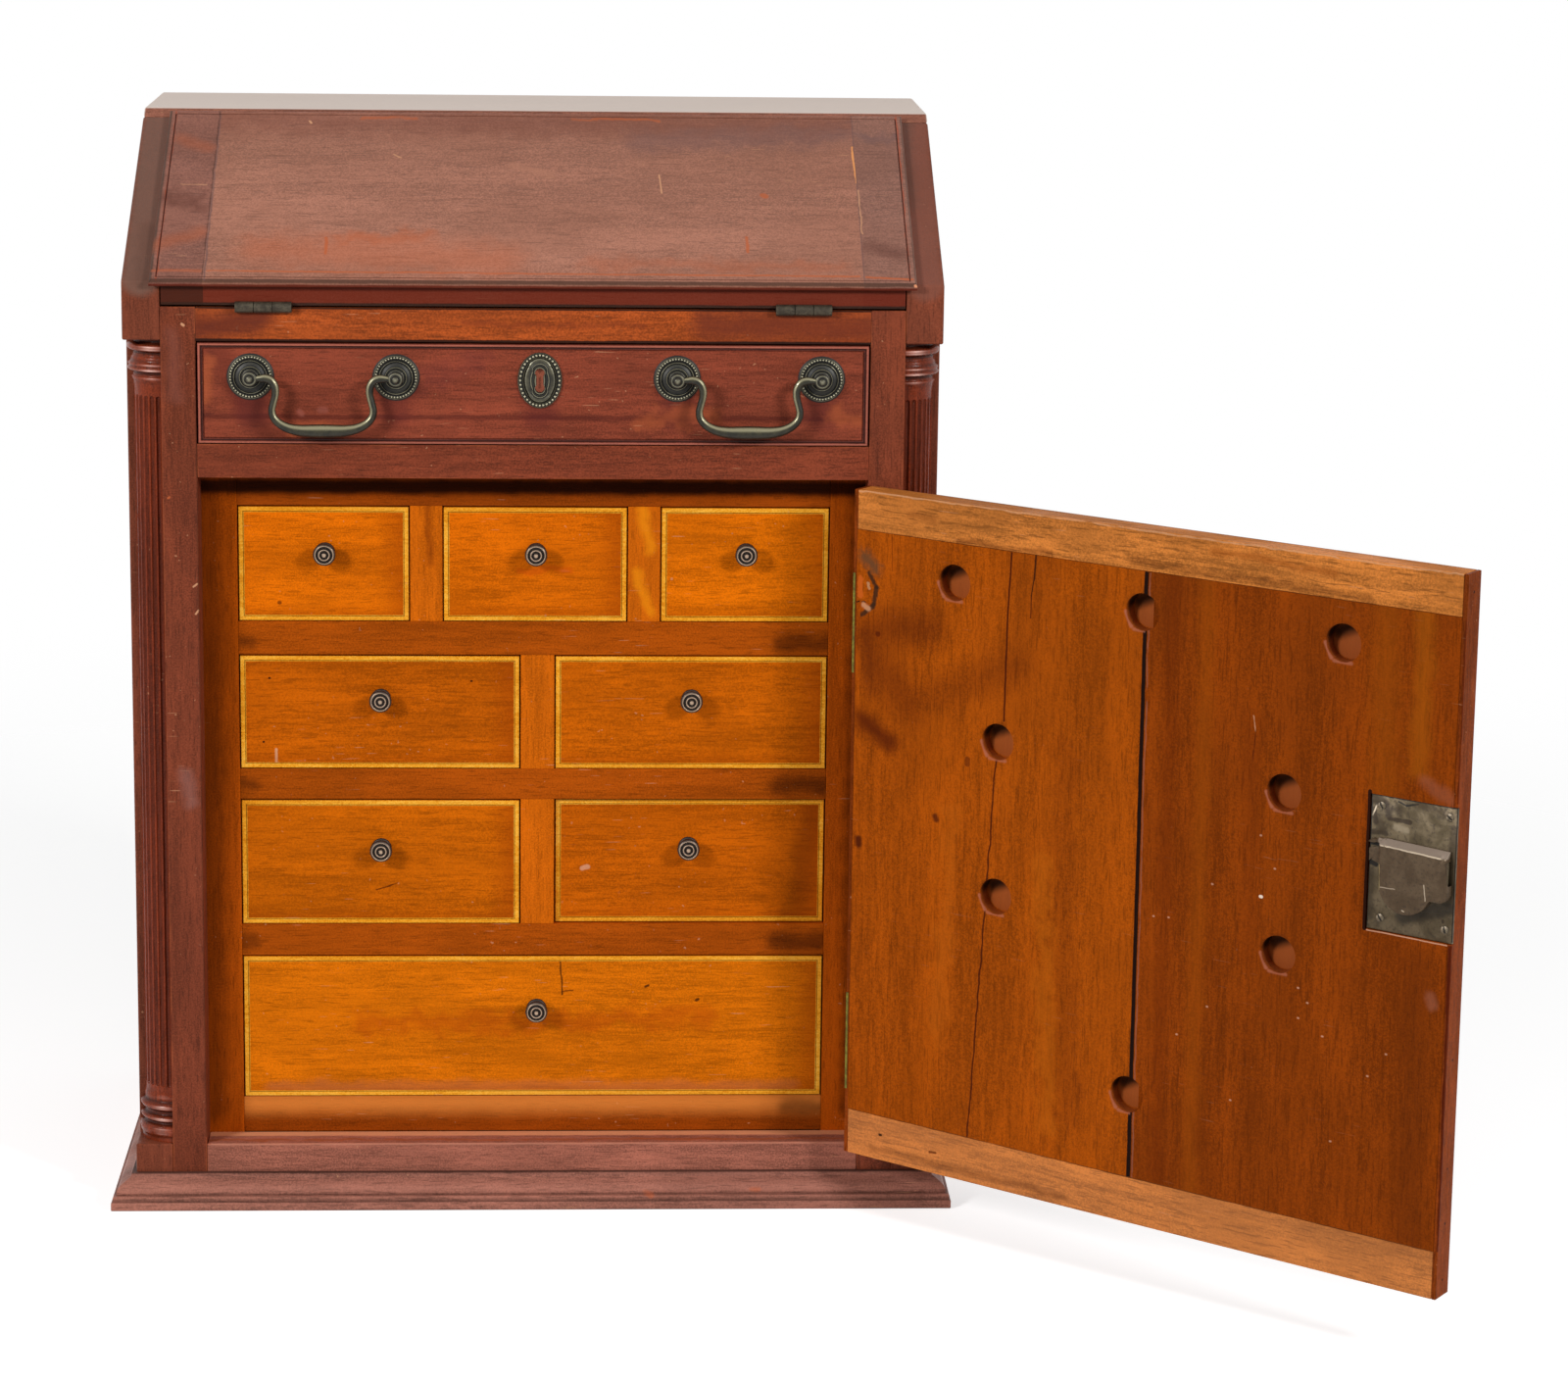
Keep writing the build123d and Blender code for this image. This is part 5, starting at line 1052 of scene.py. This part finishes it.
def drawer_escutcheon():
    """A plate between a figure-eight hole and an ellipse: point = hole + share * (ellipse - hole), with its
    height a profile of the share, and a ring of pearls on the edge."""
    x, z = ESCUTCHEON
    turn = full_turn(128)
    hole = figure_eight(turn, 2.6, 8.4)
    edge = 1 / np.sqrt((np.cos(turn) / 12.3) ** 2 + (np.sin(turn) / 15.6) ** 2)
    share_height = np.array([
        (0.0, -0.4), (0.0, 1.9), (0.03, 2.4), (0.08, 2.4), (0.12, 1.9), (0.16, 1.5), (0.24, 1.5), (0.28, 2.1),
        (0.32, 2.1), (0.36, 1.5), (0.42, 1.3), (0.52, 1.6), (0.6, 1.4), (0.65, 0.9), (0.68, 1.5), (0.71, 2.0),
        (0.74, 1.5), (0.77, 0.8), (0.94, 0.8), (0.97, 1.1), (1.0, 0.8), (1.0, 0.0), (0.6, -0.4),
    ])
    share, height = share_height[:, :1], share_height[:, 1:]
    radius = hole + share * (edge - hole)
    points = np.stack([x + radius * np.cos(turn), FRONT_Y - np.maximum(height, 0.0) + 0 * turn,
                       z + radius * np.sin(turn)], axis=-1)
    around = full_turn(36)
    ring = np.stack([x + 10.9 * np.cos(around), z + 14.1 * np.sin(around)], axis=-1)
    spread = share_height * np.array([11.0, 1.0])
    hollow = [hollow_of(spread, len(turn), 0.8, shine=0.4) + 0.1, pearl_hollows(len(around))]
    return (*joined([sheet(points), pearls(ring, 0.85, FRONT_Y - 0.9)]), np.concatenate(hollow))


points, faces, hollow = drawer_escutcheon()
make_piece("pearled_escutcheon", points, faces, "top_drawer", "antique_brass", antique,
           ("top_drawer_escutcheon",), hollow=hollow)

# Door
INNER = -DOOR_INNER
BLACK = (12, 9, 6)
SMOKE = (84, 28, 4)
RIM_WEAR_AND_LIGHT = (176, 104, 78)
GRIT = (58, 36, 22)


def recess_marks(low, high):
    """The floor of each knob's recess between two places along the door, a painted shadow in its upper left, and
    its worn rim, paler at the lower left with chips and painted light.
    """
    strokes = []
    for number in range(1, 9):
        across, z = middle_of(f"spice_knob_{number}")
        s = DOOR_AXIS[0] - across
        if low < s < high:
            strokes += [
                ((s, INNER + 4.5, z), (s + 0.1, INNER + 4.5, z), 11.4, 1.6, 0.7, (164, 86, 42), 0.8),
                # Painted shadow cast by the rim into the upper left of the recess.
                ((s - 7, INNER + 5, z + 4), (s + 2, INNER + 5, z + 8), 7.2, 4.4, 0.7, BLACK, 0.95),
                # The lower left of the rim: pale chips, with painted light.
                ((s - 10.2, INNER, z - 1), (s - 6.7, INNER, z - 8.4), 1.7, 1.2, 0.7, RIM_WEAR_AND_LIGHT, 0.75),
                ((s - 5, INNER, z - 9.8), (s + 5, INNER, z - 10), 1.5, 1.1, 0.7, RIM_WEAR_AND_LIGHT, 0.6),
            ]
    return strokes


LEFT_MARKS = [
    ((12, 345), (52, 351), 20, 20, 8, SMOKE, 0.55),
    ((18, 326), (40, 306), 22, 22, 8, SMOKE, 0.5),
    ((9, 292), (28, 282), 11, 11, 8, SMOKE, 0.85),
    ((110, 338), (60, 316), 18, 18, 8, SMOKE, 0.35),
    ((10, 340), (14, 312), 9, 9, 8, KNOT, 0.35),
    ((140, 300), (150, 90), 14, 13, 40, SMOKE, 0.25),
    ((130, 230), (136, 80), 9, 8.6, 30, (190, 98, 14), 0.4),
    ((70, 250), (64, 120), 10, 9.6, 30, (186, 94, 16), 0.35),
    ((104.9, 400), (103.2, 363.7), 0.7, 0.3, 0.7, KNOT, 0.95, 2),
    ((103.2, 363.7), (102.4, 306), 0.7, 0.3, 0.7, KNOT, 0.95, 2),
    ((98, 286), (85, 64), 0.7, 0.3, 2.5, KNOT, 0.9, 1.6),
    ((120, 400.6), (119, 387), 0.8, 0.4, 2.2, DARK, 0.85, 1.5),
    ((119, 386), (118, 377.5), 0.5, 0.3, 0.8, DARK, 0.9, 1),
    ((118, 377), (117.8, 365.7), 0.5, 0.3, 0.8, KNOT, 0.9, 1),
    ((27.1, 399), (27.5, 380), 0.6, 0.4, 0.8, SMOKE, 0.5),
    ((188.8, 400), (188.8, 64), 1.3, 0.5, 1.2, DARK, 1, 4),
    ((8, 223), (8, 220), 3.2, 2.4, 2.5, KNOT, 0.9),
    ((59, 245), (60, 243), 2.6, 2, 2.5, KNOT, 0.8),
    ((79, 281), (79, 278), 2.2, 1.2, 3, KNOT, 0.6),
]
HINGE_DAMAGE = [
    ((9, 386), (16, 380), 7.5, 7.5, 8, (96, 66, 42), 0.85),
    ((6.4, 373), (6.4, 363), 2.2, 1, 2.5, (196, 92, 28), 0.9),
    ((12, 377), (17.4, 369), 1.7, 1.2, 2.5, GRIT, 0.9, 1),
    ((17.4, 369), (15.6, 359), 2.1, 1.3, 2.5, GRIT, 0.9, 1),
    ((15.6, 359), (8, 352.6), 1.9, 1.2, 2.5, GRIT, 0.9),
    ((4, 359.4), (10, 360), 0.6, 0.3, 2.5, DARK, 0.9),
    ((9, 358), (12, 356.6), 2.4, 1.6, 2.5, (200, 142, 104), 0.85),
    ((11.6, 371), (12.6, 368), 1.2, 0.7, 2.5, (190, 140, 100), 0.8),
    ((18.4, 343), (19, 343), 1.9, 0.9, 0.7, SMOKE, 0.8),
]
SPECK_PLACES = (
    (233.7, 169), (288.3, 173.4), (293.4, 182.7), (199.4, 212.9), (208.7, 213.9), (234.6, 237.1), (271.4, 251.9),
    (262.5, 268.6), (303, 166.2), (287.7, 189.8), (216, 150), (330, 150), (340, 164), (250, 120), (310, 110),
)
RIGHT_MARKS = [
    ((226.5, 400), (226.5, 64), 9, 9, 8, (166, 80, 8), 0.35),
    ((330, 400), (333, 306), 15, 15, 12, (156, 76, 8), 0.45),
    ((352, 400), (352, 318), 10, 10, 10, (176, 94, 12), 0.4),
    ((357, 214), (358, 70), 16, 14, 12, (88, 36, 4), 0.45),
    ((206, 400), (206, 64), 9, 9, 8, (104, 38, 2), 0.4),
    ((256, 330), (258, 200), 10, 9, 12, (116, 46, 4), 0.3),
    ((189.6, 400), (189.6, 64), 0.8, 0.4, 1.2, DARK, 1, 4),
    ((191.2, 400), (191.2, 64), 0.6, 0.3, 1.8, (150, 96, 78), 0.5),
    ((255.8, 332), (257.5, 324), 0.5, 0.25, 1.6, SCRATCH, 0.7),
    ((257.5, 324), (256.8, 308), 0.5, 0.25, 1.8, KNOT, 0.7),
    ((263.6, 235.3), (264.4, 235.3), 1.1, 0.5, 1, (246, 226, 206), 0.95),
    ((326, 228.8), (374, 228.6), 0.45, 0.25, 0.8, PALE, 0.8),
    # A painted shadow along the left edge of the lock plate's bed.
    ((325, 302.6), (324.8, 229.4), 1.3, 0.4, 0.4, DARK, 0.95),
    ((356, 312), (372, 305), 6, 5, 8, (150, 86, 60), 0.45),
    ((364, 199), (366, 196), 5, 4, 6, (150, 90, 66), 0.5),
] + [((s, z), (s + 0.5, z), 0.75, 0.45, 0.7, PALE, 0.6) for s, z in SPECK_PLACES]
CLEAT_MARKS = [
    ((3, 50), (374, 50), 16, 5, 2.5, (190, 122, 82), 0.3),
    ((20, 44), (150, 42), 4, 4, 8, KNOT, 0.35),
    ((3, 422.6), (374, 422.6), 0.8, 0.6, 1.4, (226, 178, 140), 0.4),
    ((2, 401), (2, 423), 2.6, 2, 3, (196, 150, 118), 0.6),
    ((70, 402), (130, 403), 3.6, 3.4, 8, SMOKE, 0.5),
    ((40, 414), (54, 411), 5, 5, 8, SMOKE, 0.35),
    ((180, 405), (320, 403), 4, 4, 8, KNOT, 0.4),
    ((230, 417), (300, 414), 4, 4, 8, (150, 76, 22), 0.6),
    ((0, 400.6), (374, 400.6), 0.5, 0.3, 0.5, KNOT, 0.8),
    ((0, 63.2), (374, 63.2), 0.5, 0.3, 0.5, KNOT, 0.8),
    ((26, 52), (27, 52), 0.9, 0.4, 0.6, DARK, 0.9),
    ((60, 49), (64, 49.6), 0.9, 0.5, 1.6, SMOKE, 0.8),
]
NAIL_HEIGHTS = (46, 77, 107, 166, 413)
STRIP_MARKS = [((DOOR_FREE, -11, z), (DOOR_FREE + 4, -11, z), 1, 0.5, 0.4, DARK, 0.9) for z in NAIL_HEIGHTS] + [
    ((373.9, INNER, 228), (374.9, INNER, 64), 1.5, 0.9, 3, (70, 18, 8), 0.8),
    ((374.6, INNER, 400), (374.6, INNER, 304), 0.8, 0.5, 1.6, (80, 26, 10), 0.7),
]
inside = on_plane(INNER)
DOOR_BOARDS = (
    ("door_board_left", (162, 75, 6),
     layers(marks(LEFT_MARKS, where=inside), marks(HINGE_DAMAGE, 420.0, inside), marks(recess_marks(0, 189)))),
    ("door_board_right", (136, 59, 5), layers(marks(RIGHT_MARKS, where=inside), marks(recess_marks(189, 380)))),
)
for index, (node, colour, painted) in enumerate(DOOR_BOARDS):
    finish_node(node, wood(node + "_finish", shades_of(*colour, spread=0.85), "z", shift=20.0 + 0.9 * index,
                           sheen=0.03, board="door", scuff=0.12, extra=painted))
DOOR_TRIM = (
    ("door_cleats", (202, 122, 54), "x", "door_wood", marks(CLEAT_MARKS, where=inside)),
    ("door_edge_strips", (128, 56, 14), "z", "door_edging", marks(STRIP_MARKS)),
)
for index, (node, colour, grain, slot, painted) in enumerate(DOOR_TRIM):
    finish = wood(node + "_finish", shades_of(*colour), grain, shift=22.0 + 0.9 * index, board="door", sheen=0.025,
                  pores=0.6, clouds=0.5, streaks=0.3, extra=painted)
    softened(node, "door", finish, 0.5)


def on_door(across, up, out):
    """Points given on the open door as (from the hinge axis, height, out of the outer face's plane)."""
    along = np.array([math.cos(DOOR_TURN), -math.sin(DOOR_TURN)])
    facing = np.array([-math.sin(DOOR_TURN), -math.cos(DOOR_TURN)])
    across, up, out = np.broadcast_arrays(across, up, out)
    return np.stack([DOOR_AXIS[0] + across * along[0] + out * facing[0],
                     DOOR_AXIS[1] + across * along[1] + out * facing[1], up], axis=-1)


def raised(outline, steps, centre):
    """A flat boss: its outline drawn in towards the centre by each step's share, at that step's height."""
    edge = np.asarray(outline, float)
    share = np.array([step[0] for step in steps])[:, None]
    out = np.array([step[1] for step in steps])[:, None]
    across = edge[:, 0] + share * (centre[0] - edge[:, 0])
    up = edge[:, 1] + share * (centre[1] - edge[:, 1])
    return across, up, out + 0 * across


# Lock
PLATE_OUT = DOOR_INNER - 0.5
CAP_OUT = DOOR_INNER + 4.5
BOLT_LOW, BOLT_HIGH, BOLT_OUT = LOCK_LOW + 31.2, LOCK_LOW + 43.5, DOOR_INNER + 3.4
IRON_PALE = (196, 178, 154)
RUST_DARK = (42, 30, 16)


def lock_marks(strokes, out):
    """Marks on the lock, given along and up the door; a third value is how far they lie below the height out."""
    return marks(strokes, 260.0, lambda place: (place[0], sum(place[2:]) - out, place[1]))


PLATE_MARKS = lock_marks([
    ((334, 297), (336.5, 290), 2.6, 1.8, 3, RUST_DARK, 0.85),
    ((337, 289.6), (348, 289.6), 1.5, 0.7, 1.6, RUST_DARK, 0.9),
    ((327.4, 293.5), (329, 287), 1.9, 1.2, 2.6, RUST_DARK, 0.8),
    ((326.7, 281.6), (335, 281.6), 1.9, 1.3, 2.6, RUST_DARK, 0.8),
    ((341.2, 299.6), (345.7, 298.2), 0.6, 0.3, 0.8, BLACK, 0.9),
    ((345.7, 298.2), (352, 300), 0.7, 0.3, 0.8, BLACK, 0.9),
    ((329, 296), (326.6, 290), 0.5, 0.3, 1, IRON_PALE, 0.8),
    ((340, 286), (346, 285), 2.6, 2, 3, (136, 122, 100), 0.6),
    # Painted shadow: black lines where the plate meets the edges of its bed.
    ((325.6, 231), (325.9, 302), 1, 0.6, 0.4, BLACK, 0.95),
    ((325, 301.4), (374, 301.4), 0.7, 0.4, 0.4, BLACK, 0.85),
    ((374.4, 231), (374.4, 301), 0.7, 0.4, 0.4, BLACK, 0.85),
    ((325, 275.7), (331.6, 275.4), 1.5, 0.7, 0.8, BLACK, 0.95),
    ((326.6, 265.3), (329.6, 264.4), 1.7, 0.7, 0.8, BLACK, 0.95),
    ((368.8, 241), (368.8, 240.6), 1.1, 0.4, 0.6, RUST_DARK, 0.8),
    # A painted shadow below and right of the cap.
    ((346, 239), (371, 248), 6, 4, 3, (32, 26, 17), 0.8),
    ((371, 254), (373, 290), 3.2, 2.4, 2.6, RUST_DARK, 0.6),
    ((327, 299), (342, 294), 5, 4.2, 6, RUST_DARK, 0.75),
    ((328, 290), (333, 284), 4, 3, 5, RUST_DARK, 0.6),
    ((327, 261), (327, 236), 3.4, 2.8, 3, (48, 38, 24), 0.6),
    ((352, 300), (372, 297), 3, 2.6, 4, (60, 46, 30), 0.5),
], PLATE_OUT)
CAP_MARKS = lock_marks([
    # Painted light: a bright line along the crest of the cap's head and a paler top bevel.
    ((333.4, 276.6), (371, 274.8), 0.65, 0.35, 0.5, IRON_PALE, 0.95),
    ((334, 278.2, 2), (372, 276.8, 2), 2.6, 0.6, 0.6, (142, 126, 112), 0.85),
    ((333.9, 266), (334.3, 252.6), 0.4, 0.2, 0.4, (164, 146, 96), 0.8),
    ((359.6, 259.5), (360.8, 251.3), 0.45, 0.25, 0.8, IRON_PALE, 0.6),
    ((335, 254.2), (343.3, 254.5), 0.35, 0.2, 0.5, IRON_PALE, 0.5),
    ((348, 244), (349, 243.6), 0.5, 0.3, 0.6, IRON_PALE, 0.7),
    ((372.4, 262), (371.4, 273), 0.7, 0.4, 0.4, RUST_DARK, 0.7),
], CAP_OUT)
iron = metal("lock_iron_patina", ((100, 86, 64), (78, 66, 46), (50, 38, 24), IRON_PALE), 90.0, 0.4,
             sheen=0.25, door=True, extra=PLATE_MARKS)
cap_iron = metal("lock_cap_patina", ((90, 73, 54), (75, 59, 42), (50, 38, 26), IRON_PALE), 110.0, 0.42,
                 sheen=0.25, door=True, extra=CAP_MARKS)
screw_iron = metal("lock_screw_iron", ((120, 106, 84), (84, 72, 54), (20, 15, 10), IRON_PALE), 240.0, 0.3,
                   hollows=True)
hinge = metal("hinge_brass_tarnish", ((130, 124, 36), (92, 84, 24), (42, 36, 14), IRON_PALE), 200.0, 0.4)
dark_hinge = metal("hinge_bronze_tarnish", ((84, 76, 62), (54, 47, 38), (20, 17, 13), IRON_PALE), 200.0,
                   0.35, sheen=0.25)


def lock_cap():
    """The cap over the bolt: a straight head and sides, a round foot, and its head planed to a bevel, where the
    height is the smaller of the full rise and a slope from the head. Its right side is open where the bolt slides."""
    turn = np.linspace(math.radians(195), math.radians(335), 40)
    foot = np.stack([348.6 + 15.0 * np.cos(turn), 256.6 + 15.0 * np.sin(turn)], axis=-1)
    rest = np.array([
        (363.2, 251.3), (369.4, 251.3), (371.6, 252.6), (372.8, 255.4), (372.8, BOLT_LOW), (371.8, 263.0),
        (371.8, 268.0), (371.5, BOLT_HIGH), (371.4, 274.6), (371.9, 278.4), (362.0, 278.7), (350.0, 279.1),
        (342.0, 279.4), (335.4, 279.7), (334.2, 279.1), (333.3, 277.2), (333.6, 268.0), (334.0, 258.0),
    ])
    bed = DOOR_INNER - 2.2
    steps = [(0.9999, bed), (0, bed), (0, BOLT_OUT), (0, CAP_OUT - 0.5), (0.012, CAP_OUT - 0.1)]
    steps += [(share, CAP_OUT) for share in (0.03, 0.06, 0.09, 0.12, 0.16, 0.2, 0.6, 1.0)]
    across, up, out = raised(np.concatenate([foot, rest]), steps, (352.0, 265.0))
    bevel = PLATE_OUT + 1.4 + (279.4 - (across - 336) * 0.033 - up) * 1.3
    out = np.minimum(out, np.maximum(bevel, bed))
    points, faces = sheet(on_door(across, up, out))
    middle = np.stack([across, up, out], axis=-1).reshape(-1, 3)[faces].mean(axis=1)
    closed = (middle[:, 0] < 370) | (middle[:, 1] < BOLT_LOW) | (middle[:, 1] > BOLT_HIGH) | (middle[:, 2] > BOLT_OUT)
    return points, faces[closed]


def lock_plate():
    """A plate with eased edges on the bed in the door: its outline at the bed, its arris and its flat."""
    low, high, left, right = LOCK_LOW + 0.3, LOCK_HIGH - 0.3, LOCK_LEFT + 0.5, DOOR_FREE - 0.05
    outline = [(left, low), (right, low), (right, high), (left, high)]
    steps = [(1.0, DOOR_INNER - 2.0), (0, DOOR_INNER - 2.0), (0, DOOR_INNER - 0.7), (0.008, PLATE_OUT),
             (1.0, PLATE_OUT)]
    return sheet(on_door(*raised(outline, steps, (mid(left, right), mid(low, high)))))


def torn_piece(outline, low, high):
    """A small piece of torn plate: its outline raised between two heights with a soft arris."""
    edge = np.asarray(outline, float)
    steps = [(1.0, low), (0, low), (0, high - 0.3), (0.15, high), (1.0, high)]
    return sheet(on_door(*raised(edge, steps, tuple(edge.mean(axis=0)))))


TAB = [
    (325.9, 266.0), (327.4, 267.6), (329.6, 265.8), (333.0, 266.2), (334.0, 268.0), (333.8, 272.6), (331.0, 274.1),
    (328.0, 273.7), (325.8, 272.8),
]
TORN_HEAD = [
    (325.9, 276.6), (328.6, 276.3), (331.0, 276.9), (334.6, 276.2), (335.8, 279.6), (334.2, 278.9), (332.2, 279.5),
    (330.6, 278.3), (328.8, 278.8), (327.0, 277.7),
]
SLOT_HALF = 0.42


def slotted_head(across, up, tilt):
    """A round screw head whose slot is cut where the distance from a tilted line is small."""
    turn = full_turn(40)
    radius = np.array([0.0, 0.35, 0.7, 1.05, 1.4, 1.75, 2.05, 2.3, 2.3])[:, None]
    rise = np.array([0.62, 0.61, 0.58, 0.54, 0.48, 0.4, 0.28, 0.0, -0.6])[:, None]
    x, z = radius * np.cos(turn), radius * np.sin(turn)
    slot = (np.abs(x * math.cos(tilt) + z * math.sin(tilt)) < SLOT_HALF) & (rise > -0.5)
    out = np.where(slot, rise - 0.5, rise) + DOOR_INNER - 0.4
    shine = 0.6 * np.clip(np.sin(np.arctan2(z, x) - tilt), 0, 1) * (radius > 1)
    hollow = np.where(slot | (radius > 2.2), 1.0, -shine)
    return sheet(on_door(across + x, up + z, out)), hollow.ravel()


make_piece("lock_plate", *lock_plate(), "door", "lock_iron", iron)
make_piece("lock_cap", *lock_cap(), "door", "lock_iron", cap_iron, ("door_lock",), 25.0)
torn = [torn_piece(outline, PLATE_OUT - 0.5, PLATE_OUT + rise) for outline, rise in ((TAB, 0.9), (TORN_HEAD, 2.6))]
make_piece("torn_plate", *joined(torn), "door", "lock_iron", cap_iron)
heads = [slotted_head(LOCK_LEFT + x, LOCK_LOW + z, tilt) for x, z, tilt in (
    (6.4, 66.6, 0.5), (44.9, 66.6, 0.9), (8.0, 7.0, 0.6), (44.7, 7.1, 0.3))]
make_piece("lock_screw_heads", *joined([head for head, _ in heads]), "door", "lock_iron", screw_iron,
           ("door_lock_screws",), 40.0, np.concatenate([hollow for _, hollow in heads]))
finish_node("door_lock_bolt", screw_iron)
for node in ("door_hinge_plates", "door_hinge_leaves", "door_escutcheon"):
    finish_node(node, hinge)
for node in ("lid_hinge_plates", "lid_hinge_leaves"):
    finish_node(node, dark_hinge)


# Floor and surroundings
SOFT_LIGHT = 0.26
FLOOR_LIFT = 0.55


def empty_graph(owner):
    """Clears the node tree of a world or material and gives its graph and the kinds of ray that reach it."""
    owner.use_nodes = True
    owner.node_tree.nodes.clear()
    return Graph(owner.node_tree), owner.node_tree.nodes.new("ShaderNodeLightPath").outputs


def white_surroundings():
    """The world is white to the camera, in reflections and through glass, and a soft grey light elsewhere."""
    world = bpy.data.worlds.new("studio")
    bpy.context.scene.world = world
    g, rays = empty_graph(world)
    seen = g.math("MAXIMUM", g.math("MAXIMUM", rays["Is Camera Ray"], rays["Is Glossy Ray"]),
                  rays["Is Transmission Ray"])
    soft = g.node("ShaderNodeBackground", {"Color": (1, 1, 1, 1), "Strength": SOFT_LIGHT})
    white = g.node("ShaderNodeBackground", {"Color": (1, 1, 1, 1), "Strength": 1.0})
    shown = g.node("ShaderNodeMixShader", {0: seen, 1: soft, 2: white})
    g.fill(g.tree.nodes.new("ShaderNodeOutputWorld"), {"Surface": shown})


def studio_floor():
    """A pale disc under the desk that keeps its shadow and fades out into the white."""
    turn = full_turn(64)
    radius = np.linspace(0, 2200.0, 8)[:, None]
    points, faces = sheet(np.stack([radius * np.cos(turn), radius * np.sin(turn), np.full((8, 64), -0.3)], axis=-1))
    mesh = bpy.data.meshes.new("studio_floor")
    mesh.from_pydata((points * MM).tolist(), [], faces.tolist())
    material = bpy.data.materials.new("floor_paper")
    g, rays = empty_graph(material)
    seen = g.math("MAXIMUM", rays["Is Camera Ray"], rays["Is Glossy Ray"])
    paper = g.node("ShaderNodeBsdfDiffuse", {"Color": (0.8, 0.8, 0.8, 1)})
    lift = g.node("ShaderNodeEmission", {"Color": (1, 1, 1, 1), "Strength": g.times(seen, FLOOR_LIFT)})
    both = g.node("ShaderNodeAddShader", {0: paper, 1: lift})
    place = g.coordinates()
    away = g.node("ShaderNodeVectorMath", {0: place}, output=1, operation="LENGTH")
    fade = g.smooth(away, 0.35, 1.5)
    clear = g.node("ShaderNodeBsdfTransparent", {})
    shown = g.node("ShaderNodeMixShader", {0: fade, 1: both, 2: clear})
    g.fill(g.tree.nodes.new("ShaderNodeOutputMaterial"), {"Surface": shown})
    mesh.materials.append(material)
    floor = bpy.data.objects.new("studio_floor", mesh)
    bpy.context.scene.collection.objects.link(floor)


white_surroundings()
studio_floor()
